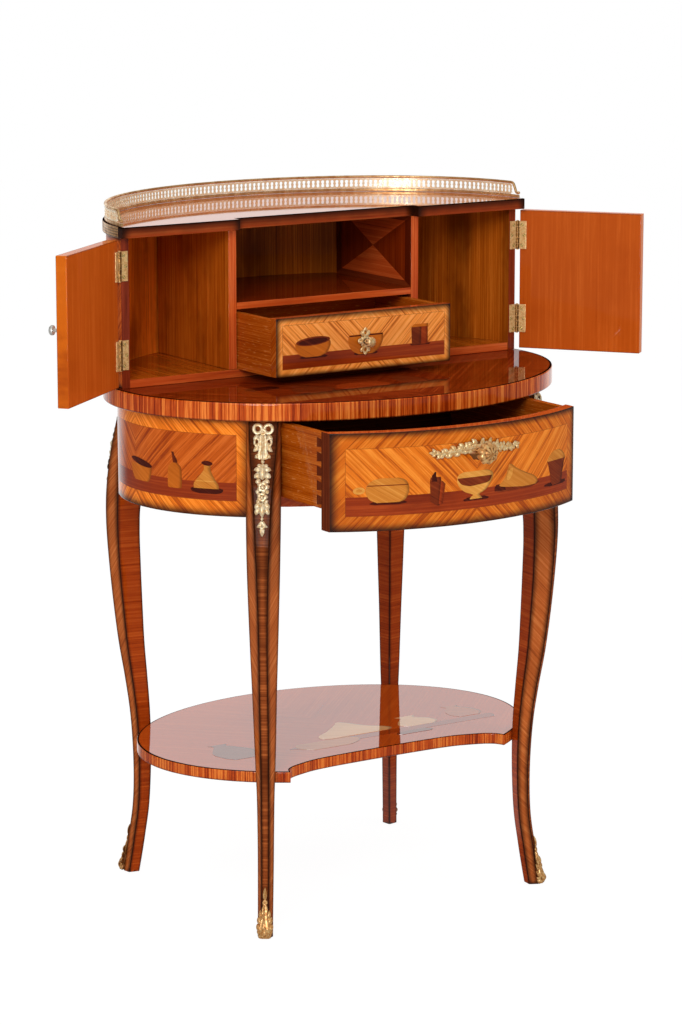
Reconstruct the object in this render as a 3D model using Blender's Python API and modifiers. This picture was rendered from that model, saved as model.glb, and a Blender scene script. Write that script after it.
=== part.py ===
# Bonheur du jour: an oval writing table on cabriole legs, with a frieze drawer, an
# undertier shelf and a small cabinet with two doors, a drawer and a pierced gallery.
# Metres, +Z up, the front faces -Y. Pieces are drawn about the centre of the oval top,
# with the doors shut and the drawers home; the empties then open them to the rest pose.

import math

import bmesh
import bpy

# Driving dimensions
TABLE_HEIGHT = 0.750
TOP_HALF_WIDTH = 0.3406
TOP_HALF_DEPTH = 0.2624
TOP_THICKNESS = 0.0255
TOP_OVERHANG = 0.020
FRIEZE_HEIGHT = 0.135
FRIEZE_PANEL_THICKNESS = 0.016
LEG_PLACE_SHARE = 0.69089
LEG_WIDTH = 0.049
DRAWER_LEG_MARGIN = 0.020
FRIEZE_DRAWER_FRONT_THICKNESS = 0.020
FRIEZE_DRAWER_DEPTH = 0.290
FRIEZE_DRAWER_OPEN = 0.119
DRAWER_LIP = 0.029
BOX_SIDE = 0.011
SHELF_TOP_Z = 0.227
SHELF_THICKNESS = 0.016
SHELF_SIDE_SETBACK = 0.0434
SHELF_BACK_SETBACK = 0.0368
SHELF_CORNER_MARGIN = 0.0395
CABINET_SIDE_SETBACK = 0.0076
CABINET_BACK_SETBACK = 0.0059
CABINET_FRONT_Y = 0.0139
CABINET_HEIGHT = 0.2092
WALL_THICKNESS = 0.012
FLOOR_THICKNESS = 0.0114
NICHE_SHARE = 0.44294
DIVIDER_THICKNESS = 0.0127
NICHE_SHELF_RISE = 0.0963
NICHE_SHELF_THICKNESS = 0.0095
CABINET_TOP_THICKNESS = 0.0153
CABINET_TOP_OVERHANG = 0.005
CABINET_TOP_BREAK = 0.0149
DOOR_THICKNESS = 0.016
DOOR_FLOOR_GAP = 0.0025
DOOR_TOP_GAP = 0.0027
DOOR_FREE_MARGIN = 0.0025
LEFT_DOOR_OPEN = 141.0
RIGHT_DOOR_OPEN = 128.0
HINGE_HEIGHT = 0.0413
HINGE_LOW = 0.0262
HINGE_HIGH = 0.1493
HINGE_LEAF = 0.0115
KNUCKLE_RADIUS = 0.003
HINGE_PIN_RADIUS = 0.0012
SMALL_DRAWER_OPEN = 0.1017
SMALL_DRAWER_DEPTH = 0.188
SMALL_FRONT_THICKNESS = 0.014
SMALL_SIDE = 0.008
GALLERY_HEIGHT = 0.024
GALLERY_INSET = 0.0045
GALLERY_PITCH = 0.0075
GALLERY_RAIL_RADIUS = 0.002
PULL_HALF_WIDTH = 0.0765
PULL_DROP = 0.0345
CHUTE_TOP_DROP = 0.0030
CHUTE_HEIGHT = 0.153
SABOT_HEIGHT = 0.069
GAP = 0.0003

# Leg form: height as a share of the leg, then the outer face and the inner corner along
# the oval's normal from the frieze surface, the side corners' place, width and chamfer.
# The part above LEG_FRIEZE_SHARE stands beside the frieze and keeps to its height.
LEG_FRIEZE_SHARE = 0.81359
LEG_FORM = (
    (1.000, 0.0080, -0.0400, -0.0060, 0.0490, 0.0400),
    (0.955, 0.0165, -0.0400, 0.0000, 0.0490, 0.0370),
    (0.910, 0.0255, -0.0380, 0.0060, 0.0490, 0.0320),
    (0.865, 0.0330, -0.0340, 0.0110, 0.0490, 0.0270),
    (0.815, 0.0395, -0.0250, 0.0150, 0.0488, 0.0230),
    (0.765, 0.0430, -0.0100, 0.0175, 0.0480, 0.0195),
    (0.710, 0.0435, -0.0070, 0.0180, 0.0465, 0.0160),
    (0.640, 0.0405, -0.0080, 0.0165, 0.0435, 0.0135),
    (0.560, 0.0350, -0.0100, 0.0125, 0.0398, 0.0120),
    (0.480, 0.0275, -0.0125, 0.0075, 0.0357, 0.0120),
    (0.410, 0.0185, -0.0165, 0.0010, 0.0328, 0.0118),
    (0.340, 0.0110, -0.0200, -0.0045, 0.0298, 0.0114),
    (0.270, 0.0072, -0.0212, -0.0070, 0.0260, 0.0110),
    (0.200, 0.0063, -0.0200, -0.0068, 0.0244, 0.0106),
    (0.140, 0.0085, -0.0170, -0.0043, 0.0236, 0.0104),
    (0.085, 0.0145, -0.0110, 0.0018, 0.0230, 0.0102),
    (0.040, 0.0195, -0.0055, 0.0070, 0.0226, 0.0100),
    (0.000, 0.0240, 0.0000, 0.0120, 0.0226, 0.0100),
)

# Half widths and thicknesses of the gilt mounts, from the top down
CHUTE_FORM = (
    (0.00, 0.0060, 0.0020), (0.02, 0.0128, 0.0040), (0.07, 0.0134, 0.0060),
    (0.11, 0.0108, 0.0050), (0.21, 0.0122, 0.0060), (0.30, 0.0064, 0.0046),
    (0.34, 0.0026, 0.0034), (0.42, 0.0106, 0.0056), (0.50, 0.0088, 0.0062),
    (0.60, 0.0084, 0.0062), (0.69, 0.0056, 0.0046), (0.78, 0.0074, 0.0052),
    (0.855, 0.0024, 0.0034), (0.92, 0.0070, 0.0044), (0.97, 0.0034, 0.0034),
    (1.00, 0.0010, 0.0020),
)
SABOT_FORM = (
    (0.00, 0.0012, 0.0016), (0.10, 0.0028, 0.0030), (0.30, 0.0046, 0.0036),
    (0.45, 0.0072, 0.0042), (0.62, 0.0092, 0.0050), (0.80, 0.0100, 0.0062),
    (0.92, 0.0098, 0.0092), (1.00, 0.0072, 0.0072),
)

# Sizes that follow from the ones above
FRIEZE_A = TOP_HALF_WIDTH - TOP_OVERHANG
FRIEZE_B = TOP_HALF_DEPTH - TOP_OVERHANG
FRIEZE_TOP = TABLE_HEIGHT - TOP_THICKNESS - GAP
FRIEZE_BOTTOM = FRIEZE_TOP - FRIEZE_HEIGHT
BOX_BOTTOM = FRIEZE_BOTTOM + DRAWER_LIP
LEG_X = FRIEZE_A * LEG_PLACE_SHARE
LEG_Y = FRIEZE_B * math.sqrt(1 - LEG_PLACE_SHARE ** 2)
LEG_SCALE = LEG_WIDTH / LEG_FORM[0][4]
FRIEZE_DRAWER_HALF = LEG_X - DRAWER_LEG_MARGIN
SHELF_HALF_WIDTH = TOP_HALF_WIDTH - SHELF_SIDE_SETBACK
SHELF_HALF_DEPTH = TOP_HALF_DEPTH - SHELF_BACK_SETBACK
SHELF_CORNER_X = LEG_X - SHELF_CORNER_MARGIN
CABINET_HALF_WIDTH = TOP_HALF_WIDTH - CABINET_SIDE_SETBACK
CABINET_HALF_DEPTH = TOP_HALF_DEPTH - CABINET_BACK_SETBACK
CABINET_TOP_HALF_WIDTH = CABINET_HALF_WIDTH + CABINET_TOP_OVERHANG
CABINET_TOP_HALF_DEPTH = CABINET_HALF_DEPTH + CABINET_TOP_OVERHANG
DIVIDER_X = CABINET_HALF_WIDTH * NICHE_SHARE
DOOR_FREE_X = DIVIDER_X + DOOR_FREE_MARGIN
APERTURE_HALF = FRIEZE_DRAWER_HALF + 0.0007
CABINET_BASE = TABLE_HEIGHT + GAP
CABINET_CEILING = TABLE_HEIGHT + CABINET_HEIGHT
FLOOR_TOP = CABINET_BASE + FLOOR_THICKNESS
NICHE_SHELF_BOTTOM = TABLE_HEIGHT + NICHE_SHELF_RISE
NICHE_SHELF_TOP = NICHE_SHELF_BOTTOM + NICHE_SHELF_THICKNESS
BOARD_TOP = CABINET_CEILING + CABINET_TOP_THICKNESS
INNER_A = CABINET_HALF_WIDTH - WALL_THICKNESS
INNER_B = CABINET_HALF_DEPTH - WALL_THICKNESS
STILE_X = CABINET_HALF_WIDTH * math.sqrt(1 - (CABINET_FRONT_Y / CABINET_HALF_DEPTH) ** 2)
HINGE_X = STILE_X + KNUCKLE_RADIUS
HINGE_Y = CABINET_FRONT_Y - 0.0017
DOOR_BOTTOM = TABLE_HEIGHT + DOOR_FLOOR_GAP
DOOR_TOP = CABINET_CEILING - DOOR_TOP_GAP
DOOR_INNER = -0.0017
DOOR_OUTER = DOOR_INNER - DOOR_THICKNESS
SMALL_HALF = DIVIDER_X - 0.0012
SMALL_BOTTOM = FLOOR_TOP + 0.0006
SMALL_TOP = NICHE_SHELF_BOTTOM - 0.0015
PULL_Z = FRIEZE_TOP - PULL_DROP
PULL_REACH = 0.034

# The open doors and drawers set the box that the origin is centred under
door_reach = HINGE_X - DOOR_FREE_X
left_out = -door_reach * math.cos(math.radians(LEFT_DOOR_OPEN))
left_out -= DOOR_OUTER * math.sin(math.radians(LEFT_DOOR_OPEN))
right_out = -door_reach * math.cos(math.radians(RIGHT_DOOR_OPEN))
right_out -= DOOR_OUTER * math.sin(math.radians(RIGHT_DOOR_OPEN))
CENTRE_X = (right_out - left_out) / 2
FRONT_REACH = FRIEZE_B + FRIEZE_DRAWER_OPEN + PULL_REACH
CENTRE_Y = (TOP_HALF_DEPTH - FRONT_REACH) / 2

# Start from an empty scene
for old in list(bpy.data.objects):
    bpy.data.objects.remove(old, do_unlink=True)

parts = bpy.data.collections.new("bonheur_du_jour")
bpy.context.scene.collection.children.link(parts)
helpers = bpy.data.collections.new("cutters")
bpy.context.scene.collection.children.link(helpers)
helpers.hide_render = True


# Materials
def make_material(name, colour, roughness, metallic=0.0):
    material = bpy.data.materials.new(name)
    material.use_nodes = True
    shader = material.node_tree.nodes["Principled BSDF"]
    shader.inputs["Base Color"].default_value = (*colour, 1.0)
    shader.inputs["Roughness"].default_value = roughness
    shader.inputs["Metallic"].default_value = metallic
    return material


VENEER = make_material("tulipwood_veneer", (0.42, 0.13, 0.03), 0.15)
EDGE = make_material("crossband_edge", (0.36, 0.10, 0.025), 0.18)
CARCASS = make_material("red_brown_carcass", (0.24, 0.045, 0.018), 0.22)
INSIDE = make_material("walnut_inside", (0.16, 0.055, 0.015), 0.30)
OAK = make_material("drawer_oak", (0.30, 0.12, 0.03), 0.35)
DOOR_WOOD = make_material("door_wood", (0.40, 0.11, 0.03), 0.2)
GILT = make_material("gilt_bronze", (0.80, 0.62, 0.33), 0.3, 1.0)
BRASS = make_material("hinge_brass", (0.72, 0.50, 0.22), 0.3, 1.0)
NICKEL = make_material("nickel", (0.70, 0.66, 0.60), 0.25, 1.0)


# Building blocks
def place(obj, parent, material, helper=False):
    (helpers if helper else parts).objects.link(obj)
    if helper:
        obj.hide_render = True
        obj.display_type = "WIRE"
    else:
        obj.data.materials.clear()
        obj.data.materials.append(material)
    obj.parent = parent
    return obj


def empty(name, location, parent=None, turn=0.0):
    obj = bpy.data.objects.new(name, None)
    parts.objects.link(obj)
    obj.location = location
    obj.rotation_euler = (0.0, 0.0, math.radians(turn))
    obj.parent = parent
    return obj


def from_bmesh(name, mesh, parent, material, helper=False):
    bmesh.ops.recalc_face_normals(mesh, faces=mesh.faces)
    data = bpy.data.meshes.new(name)
    mesh.to_mesh(data)
    mesh.free()
    return place(bpy.data.objects.new(name, data), parent, material, helper)


def as_mesh(curve_object, name, parent, material, helper=False):
    parts.objects.link(curve_object)
    graph = bpy.context.evaluated_depsgraph_get()
    data = bpy.data.meshes.new_from_object(curve_object.evaluated_get(graph))
    bpy.data.objects.remove(curve_object, do_unlink=True)
    mesh = bmesh.new()
    mesh.from_mesh(data)
    bpy.data.meshes.remove(data)
    bmesh.ops.remove_doubles(mesh, verts=mesh.verts, dist=0.00002)
    return from_bmesh(name, mesh, parent, material, helper)


def slab(name, outlines, low, high, parent, material, helper=False):
    """A flat outline, with any holes after it, extruded from one height to another."""
    curve = bpy.data.curves.new(name, "CURVE")
    curve.dimensions = "2D"
    curve.fill_mode = "BOTH"
    curve.extrude = (high - low) / 2
    for points in outlines:
        spline = curve.splines.new("POLY")
        spline.points.add(len(points) - 1)
        for point, (x, y) in zip(spline.points, points):
            point.co = (x, y, 0.0, 1.0)
        spline.use_cyclic_u = True
    obj = as_mesh(bpy.data.objects.new(name, curve), name, parent, material, helper)
    for vertex in obj.data.vertices:
        vertex.co.z += (low + high) / 2
    return obj


def block(name, x, y, z, parent, material, helper=False):
    mesh = bmesh.new()
    bmesh.ops.create_cube(mesh, size=1.0)
    for vertex in mesh.verts:
        for axis, (low, high) in enumerate((x, y, z)):
            vertex.co[axis] = (low + high) / 2 + vertex.co[axis] * (high - low)
    return from_bmesh(name, mesh, parent, material, helper)


def turned(name, profile, location, rotation, parent, material, steps=20, helper=False):
    """A profile of radius and height, from the top down, turned about its own Z."""
    data = bpy.data.meshes.new(name)
    points = [(radius, 0.0, height) for radius, height in profile]
    data.from_pydata(points, [(i, i + 1) for i in range(len(points) - 1)], [])
    obj = place(bpy.data.objects.new(name, data), parent, material, helper)
    obj.location = location
    obj.rotation_euler = rotation
    screw = obj.modifiers.new("turn", "SCREW")
    screw.steps = steps
    screw.render_steps = steps
    screw.use_merge_vertices = True
    screw.merge_threshold = 0.0001
    screw.use_smooth_shade = False
    return obj


def tube(name, points, radius, parent, material, cyclic=False, sides=2):
    curve = bpy.data.curves.new(name, "CURVE")
    curve.dimensions = "3D"
    curve.twist_mode = "Z_UP"
    curve.bevel_depth = radius
    curve.bevel_resolution = sides
    curve.use_fill_caps = True
    spline = curve.splines.new("POLY")
    spline.points.add(len(points) - 1)
    for point, (x, y, z, size) in zip(spline.points, points):
        point.co = (x, y, z, 1.0)
        point.radius = size
    spline.use_cyclic_u = cyclic
    return as_mesh(bpy.data.objects.new(name, curve), name, parent, material)


def loft(name, sections, parent, material, helper=False):
    """Rings of equal count joined one to the next, with the two ends closed."""
    mesh = bmesh.new()
    rings = [[mesh.verts.new(point) for point in ring] for ring in sections]
    for ring, following in zip(rings, rings[1:]):
        for i in range(len(ring)):
            j = (i + 1) % len(ring)
            mesh.faces.new((ring[i], ring[j], following[j]))
            mesh.faces.new((ring[i], following[j], following[i]))
    mesh.faces.new(rings[0])
    mesh.faces.new(rings[-1])
    return from_bmesh(name, mesh, parent, material, helper)


def boolean(obj, other, operation="DIFFERENCE"):
    modifier = obj.modifiers.new(operation.lower(), "BOOLEAN")
    modifier.operation = operation
    modifier.solver = "EXACT"
    modifier.object = other


def soften(obj, width, segments=1):
    modifier = obj.modifiers.new("soften", "BEVEL")
    modifier.width = width
    modifier.segments = segments
    modifier.limit_method = "ANGLE"
    modifier.angle_limit = math.radians(40)


def arc(a, b, start, stop, count):
    """Points on an ellipse between two angles in degrees."""
    turns = [math.radians(start + (stop - start) * i / count) for i in range(count + 1)]
    return [(a * math.cos(t), b * math.sin(t)) for t in turns]


def oval_y(a, b, x):
    return b * math.sqrt(1 - (x / a) ** 2)


def angle_at_x(a, x):
    return math.degrees(math.acos(x / a))


def angle_at_y(b, y):
    return math.degrees(math.asin(y / b))


# Empties: the root, and one for each thing that moves
root = empty("bonheur_du_jour_root", (-CENTRE_X, -CENTRE_Y, 0.0))
frieze_drawer = empty("frieze_drawer", (0.0, -FRIEZE_DRAWER_OPEN, 0.0), root)
small_drawer = empty("small_drawer", (0.0, -SMALL_DRAWER_OPEN, 0.0), root)
doors = {
    "left": empty("door_left", (-HINGE_X, HINGE_Y, 0.0), root, -LEFT_DOOR_OPEN),
    "right": empty("door_right", (HINGE_X, HINGE_Y, 0.0), root, RIGHT_DOOR_OPEN),
}

# Oval top
top = slab("oval_top", [arc(TOP_HALF_WIDTH, TOP_HALF_DEPTH, 0, 360, 72)[:-1]],
           TABLE_HEIGHT - TOP_THICKNESS, TABLE_HEIGHT, root, EDGE)
soften(top, 0.0012)


# Legs
def leg_frame(side_x, side_y):
    """The place of a leg on the frieze oval, with its outward normal and its tangent."""
    nx = LEG_X / FRIEZE_A ** 2
    ny = LEG_Y / FRIEZE_B ** 2
    size = math.hypot(nx, ny)
    normal = (side_x * nx / size, side_y * ny / size)
    return (side_x * LEG_X, side_y * LEG_Y), normal, (-normal[1], normal[0])


def leg_height(share):
    """The height of a share of the leg: below the frieze, or beside it."""
    if share < LEG_FRIEZE_SHARE:
        return FRIEZE_BOTTOM * share / LEG_FRIEZE_SHARE
    return FRIEZE_BOTTOM + FRIEZE_HEIGHT * (share - LEG_FRIEZE_SHARE) / (1 - LEG_FRIEZE_SHARE)


def leg_at(height):
    """Outer face, inner corner, side corner, width and chamfer of the leg at a height."""
    if height < FRIEZE_BOTTOM:
        share = LEG_FRIEZE_SHARE * height / FRIEZE_BOTTOM
    else:
        rise = (height - FRIEZE_BOTTOM) / FRIEZE_HEIGHT
        share = LEG_FRIEZE_SHARE + (1 - LEG_FRIEZE_SHARE) * rise
    for above, below in zip(LEG_FORM, LEG_FORM[1:]):
        if share >= below[0]:
            f = (share - below[0]) / (above[0] - below[0])
            return [LEG_SCALE * (b + (a - b) * f) for a, b in zip(above[1:], below[1:])]
    return [LEG_SCALE * size for size in LEG_FORM[-1][1:]]


def on_leg(frame, n, t, z):
    (x, y), normal, tangent = frame
    return (x + n * normal[0] + t * tangent[0], y + n * normal[1] + t * tangent[1], z)


def leg_sections(frame, grow=0.0):
    rings = []
    for share, *sizes in LEG_FORM:
        outer, inner, side, width, chamfer = (LEG_SCALE * size for size in sizes)
        half = width / 2 + grow * 1.2
        edge = chamfer / 2 + grow * 0.5
        ring = ((outer + grow, -edge), (outer + grow, edge), (side, half),
                (inner - grow * 1.6, 0.0), (side, -half))
        rings.append([on_leg(frame, n, t, leg_height(share)) for n, t in ring])
    return rings


corners = {"front_left": (-1, -1), "front_right": (1, -1),
           "back_left": (-1, 1), "back_right": (1, 1)}
aperture = block("drawer_aperture", (-APERTURE_HALF, APERTURE_HALF), (-0.5, 0.0),
                 (FRIEZE_BOTTOM - 0.001, TABLE_HEIGHT), root, None, True)
leg_cutters = []
for where, sides in corners.items():
    frame = leg_frame(*sides)
    leg = loft("leg_" + where, leg_sections(frame), root, VENEER)
    if sides[1] < 0:
        boolean(leg, aperture)
    leg_cutters.append(loft("cutter_" + where, leg_sections(frame, GAP), root, None, True))


# Frieze panels, cut back by the legs
def frieze_band(start, stop, count):
    inner_a = FRIEZE_A - FRIEZE_PANEL_THICKNESS
    inner_b = FRIEZE_B - FRIEZE_PANEL_THICKNESS
    outside = arc(FRIEZE_A, FRIEZE_B, start, stop, count)
    return outside + arc(inner_a, inner_b, start, stop, count)[::-1]


leg_angle = angle_at_x(FRIEZE_A, LEG_X)
for name, start, stop, cutters in (
    ("frieze_panel_right", -leg_angle, leg_angle, (1, 3)),
    ("frieze_panel_back", leg_angle, 180 - leg_angle, (3, 2)),
    ("frieze_panel_left", 180 - leg_angle, 180 + leg_angle, (2, 0)),
):
    panel = slab(name, [frieze_band(start, stop, 20)], FRIEZE_BOTTOM, FRIEZE_TOP, root, VENEER)
    for index in cutters:
        boolean(panel, leg_cutters[index])


# Bearer rail and runners under the frieze drawer
def bow(inset, half, count=16):
    """The frieze oval brought in by an inset, across the front between two ends."""
    a = FRIEZE_A - inset
    b = FRIEZE_B - inset
    turn = angle_at_x(a, half)
    return arc(a, b, 180 + turn, 360 - turn, count)


RAIL_INSET = FRIEZE_DRAWER_FRONT_THICKNESS + 0.0025
RAIL_DEPTH = 0.024
RAIL_TOP = BOX_BOTTOM - GAP
RAIL_BOTTOM = RAIL_TOP - 0.018
rail_half = APERTURE_HALF - GAP
rail_back = bow(RAIL_INSET + RAIL_DEPTH, rail_half)
slab("bearer_rail", [bow(RAIL_INSET, rail_half) + rail_back[::-1]],
     RAIL_BOTTOM, RAIL_TOP, root, CARCASS)
runner_in = FRIEZE_DRAWER_HALF - 0.030
runner_out = FRIEZE_DRAWER_HALF - 0.004
panel_a = FRIEZE_A - FRIEZE_PANEL_THICKNESS - GAP
panel_b = FRIEZE_B - FRIEZE_PANEL_THICKNESS - GAP
back_a = FRIEZE_A - RAIL_INSET - RAIL_DEPTH
back_b = FRIEZE_B - RAIL_INSET - RAIL_DEPTH
for name, side in (("runner_left", -1), ("runner_right", 1)):
    outline = [(runner_in, -oval_y(back_a, back_b, runner_in) + GAP * 1.4),
               (runner_out, -oval_y(back_a, back_b, runner_out) + GAP * 1.4),
               (runner_out, oval_y(panel_a, panel_b, runner_out)),
               (runner_in, oval_y(panel_a, panel_b, runner_in))]
    runner = slab(name, [[(side * x, y) for x, y in outline]],
                  RAIL_BOTTOM, RAIL_TOP, root, OAK)
    boolean(runner, leg_cutters[2 if side < 0 else 3])

# Undertier shelf, scooped at the front and notched round the legs
turn = angle_at_x(SHELF_HALF_WIDTH, SHELF_CORNER_X)
shelf_outline = arc(SHELF_HALF_WIDTH, SHELF_HALF_DEPTH, -turn, 180 + turn, 60)
scoop = ((1.000, 0.995), (0.965, 0.930), (0.915, 0.888), (0.860, 0.862), (0.780, 0.835),
         (0.660, 0.803), (0.500, 0.787), (0.300, 0.780), (0.100, 0.778))
corner_y = -oval_y(SHELF_HALF_WIDTH, SHELF_HALF_DEPTH, SHELF_CORNER_X)
shelf_outline += [(-SHELF_CORNER_X * x, corner_y * y) for x, y in scoop]
shelf_outline += [(SHELF_CORNER_X * x, corner_y * y) for x, y in scoop[::-1]]
shelf = slab("undertier_shelf", [shelf_outline], SHELF_TOP_Z - SHELF_THICKNESS,
             SHELF_TOP_Z, root, EDGE)
for cutter in leg_cutters:
    boolean(shelf, cutter)


# Gilt mounts on the leg tops and feet, wrapped on the leg's outer faces
def mount_sections(frame, form, top_z, height):
    rings = []
    for share, half, thick in form:
        z = top_z - share * height
        outer, _, side, width, chamfer = leg_at(z)
        slope = (outer - side) / (width / 2 - chamfer / 2)
        flat = min(half * 0.7, chamfer / 2)
        drop = max(0.0, half - chamfer / 2) * slope
        back = outer - 0.0010
        seat = outer + GAP
        lip = seat - drop + max(0.0012, thick * 0.45)
        ring = ((back - drop, -half), (back, -flat), (back, flat), (back - drop, half),
                (lip, half), (seat + thick, flat * 0.6),
                (seat + thick, -flat * 0.6), (lip, -half))
        rings.append([on_leg(frame, n, t, z) for n, t in ring])
    return rings


for (where, sides), cutter in zip(corners.items(), leg_cutters):
    frame = leg_frame(*sides)
    for name, form, top_z, height in (
        ("chute_", CHUTE_FORM, FRIEZE_TOP - CHUTE_TOP_DROP, CHUTE_HEIGHT),
        ("sabot_", SABOT_FORM, SABOT_HEIGHT + 0.001, SABOT_HEIGHT),
    ):
        sections = mount_sections(frame, form, top_z, height)
        boolean(loft(name + where, sections, root, GILT), cutter)


# Cabinet carcass
def half_band(a, b, thickness, front, count):
    """A curved wall round the back, from the front line on one side to the other."""
    outer_turn = angle_at_y(b, front)
    inner_turn = angle_at_y(b - thickness, front)
    outside = arc(a, b, outer_turn, 180 - outer_turn, count)
    inside = arc(a - thickness, b - thickness, inner_turn, 180 - inner_turn, count)
    return outside + inside[::-1]


slab("cabinet_wall", [half_band(CABINET_HALF_WIDTH, CABINET_HALF_DEPTH, WALL_THICKNESS,
                                CABINET_FRONT_Y, 48)],
     CABINET_BASE, CABINET_CEILING - GAP, root, INSIDE)
room_a = INNER_A - GAP
room_b = INNER_B - GAP
room_turn = angle_at_y(room_b, CABINET_FRONT_Y)
slab("cabinet_floor", [arc(room_a, room_b, room_turn, 180 - room_turn, 48)],
     CABINET_BASE, FLOOR_TOP, root, CARCASS)
divider_back = oval_y(room_a, room_b, DIVIDER_X + DIVIDER_THICKNESS) - GAP
for name, side in (("divider_left", -1), ("divider_right", 1)):
    faces = sorted((side * DIVIDER_X, side * (DIVIDER_X + DIVIDER_THICKNESS)))
    block(name, faces, (CABINET_FRONT_Y, divider_back),
          (FLOOR_TOP + GAP, CABINET_CEILING - GAP), root, CARCASS)
niche_half = DIVIDER_X - GAP
niche_turn = angle_at_x(room_a, niche_half)
slab("niche_shelf", [[(-niche_half, CABINET_FRONT_Y), (niche_half, CABINET_FRONT_Y)]
                     + arc(room_a, room_b, niche_turn, 180 - niche_turn, 20)],
     NICHE_SHELF_BOTTOM, NICHE_SHELF_TOP, root, CARCASS)
board_front = CABINET_FRONT_Y - CABINET_TOP_BREAK
board_turn = math.degrees(math.asin(board_front / CABINET_TOP_HALF_DEPTH))
break_x = DOOR_FREE_X
board = slab("cabinet_top", [arc(CABINET_TOP_HALF_WIDTH, CABINET_TOP_HALF_DEPTH, board_turn,
                                 180 - board_turn, 56)
                             + [(-break_x, board_front), (-break_x, CABINET_FRONT_Y),
                                (break_x, CABINET_FRONT_Y), (break_x, board_front)]],
             CABINET_CEILING, BOARD_TOP, root, EDGE)
soften(board, 0.0008)

# Gallery: a base rail, a pierced fret bent round the oval, and a round top rail
gallery_a = CABINET_TOP_HALF_WIDTH - GALLERY_INSET
gallery_b = CABINET_TOP_HALF_DEPTH - GALLERY_INSET
base_bottom = BOARD_TOP + GAP
base_top = base_bottom + 0.0045
rail_centre = BOARD_TOP + GALLERY_HEIGHT - GALLERY_RAIL_RADIUS
fret_bottom = base_top + GAP
fret_top = rail_centre - GALLERY_RAIL_RADIUS - GAP
slab("gallery_base_rail", [half_band(gallery_a + 0.0015, gallery_b + 0.0015, 0.003,
                                     board_front + 0.008, 60)],
     base_bottom, base_top, root, BRASS)
path = bpy.data.curves.new("gallery_path", "CURVE")
path.dimensions = "3D"
path.twist_mode = "Z_UP"
path.use_path = True
fret_turn = angle_at_y(gallery_b, board_front + 0.026)
path_points = arc(gallery_a, gallery_b, 180 - fret_turn, fret_turn, 150)
spline = path.splines.new("POLY")
spline.points.add(len(path_points) - 1)
for point, (x, y) in zip(spline.points, path_points):
    point.co = (x, y, 0.0, 1.0)
path_object = place(bpy.data.objects.new("gallery_path", path), root, None, True)
path_length = sum(math.dist(p, q) for p, q in zip(path_points, path_points[1:]))
cell_count = int(path_length / GALLERY_PITCH)
cell = path_length / cell_count
middle = (fret_bottom + fret_top) / 2
margin = 0.0026
around = ((0, fret_bottom), (0, middle), (0, fret_top),
          (cell, fret_top), (cell, middle), (cell, fret_bottom))
hole = ((cell * 0.20, fret_bottom + margin), (cell * 0.34, middle),
        (cell * 0.20, fret_top - margin), (cell * 0.80, fret_top - margin),
        (cell * 0.66, middle), (cell * 0.80, fret_bottom + margin))
mesh = bmesh.new()
outer_ring = [mesh.verts.new((x, 0.0, z)) for x, z in around]
inner_ring = [mesh.verts.new((x, 0.0, z)) for x, z in hole]
for i in range(6):
    j = (i + 1) % 6
    mesh.faces.new((outer_ring[i], outer_ring[j], inner_ring[j], inner_ring[i]))
fret = from_bmesh("gallery_fret", mesh, root, BRASS)
repeat = fret.modifiers.new("repeat", "ARRAY")
repeat.count = cell_count
repeat.use_relative_offset = False
repeat.use_constant_offset = True
repeat.constant_offset_displace = (cell, 0.0, 0.0)
repeat.use_merge_vertices = True
repeat.merge_threshold = 0.0001
bend = fret.modifiers.new("bend", "CURVE")
bend.object = path_object
bend.deform_axis = "POS_X"
shell = fret.modifiers.new("shell", "SOLIDIFY")
shell.thickness = 0.0018
shell.offset = 0.0
rail_turn = angle_at_y(gallery_b, board_front + 0.026)
rail_points = [(x, y, rail_centre, 1.0)
               for x, y in arc(gallery_a, gallery_b, rail_turn, 180 - rail_turn, 60)]
end_x, end_y = gallery_a * math.cos(math.radians(rail_turn)), board_front + 0.026
drop_to = base_top + GALLERY_RAIL_RADIUS + GAP
ramp = [(end_x + 0.0004, end_y - 0.005, rail_centre - 0.0015, 1.0),
        (end_x + 0.0006, end_y - 0.0085, (rail_centre + drop_to) / 2, 1.0),
        (end_x + 0.0008, end_y - 0.012, drop_to + 0.0012, 1.0),
        (end_x + 0.0008, end_y - 0.017, drop_to, 1.3)]
rail_points = ramp[::-1] + rail_points + [(-x, y, z, size) for x, y, z, size in ramp]
tube("gallery_top_rail", rail_points, GALLERY_RAIL_RADIUS, root, BRASS, False, 1)


# Hinges: a carcass leaf, a door leaf and a pin each
def leaf_outline(side, flip):
    """A leaf in plan about the pin: a plate that runs into a bored barrel."""
    near = math.degrees(math.asin(0.0002 / KNUCKLE_RADIUS))
    far = math.degrees(math.asin(0.0014 / KNUCKLE_RADIUS))
    points = [(-HINGE_LEAF - KNUCKLE_RADIUS, 0.0002)]
    points += arc(KNUCKLE_RADIUS, KNUCKLE_RADIUS, 180 - near, 540 - far, 10)
    points += [(-HINGE_LEAF - KNUCKLE_RADIUS, 0.0014)]
    bore = arc(HINGE_PIN_RADIUS + GAP, HINGE_PIN_RADIUS + GAP, 0, 360, 8)[:-1]
    return [[(side * x, flip * y) for x, y in points], bore]


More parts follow.
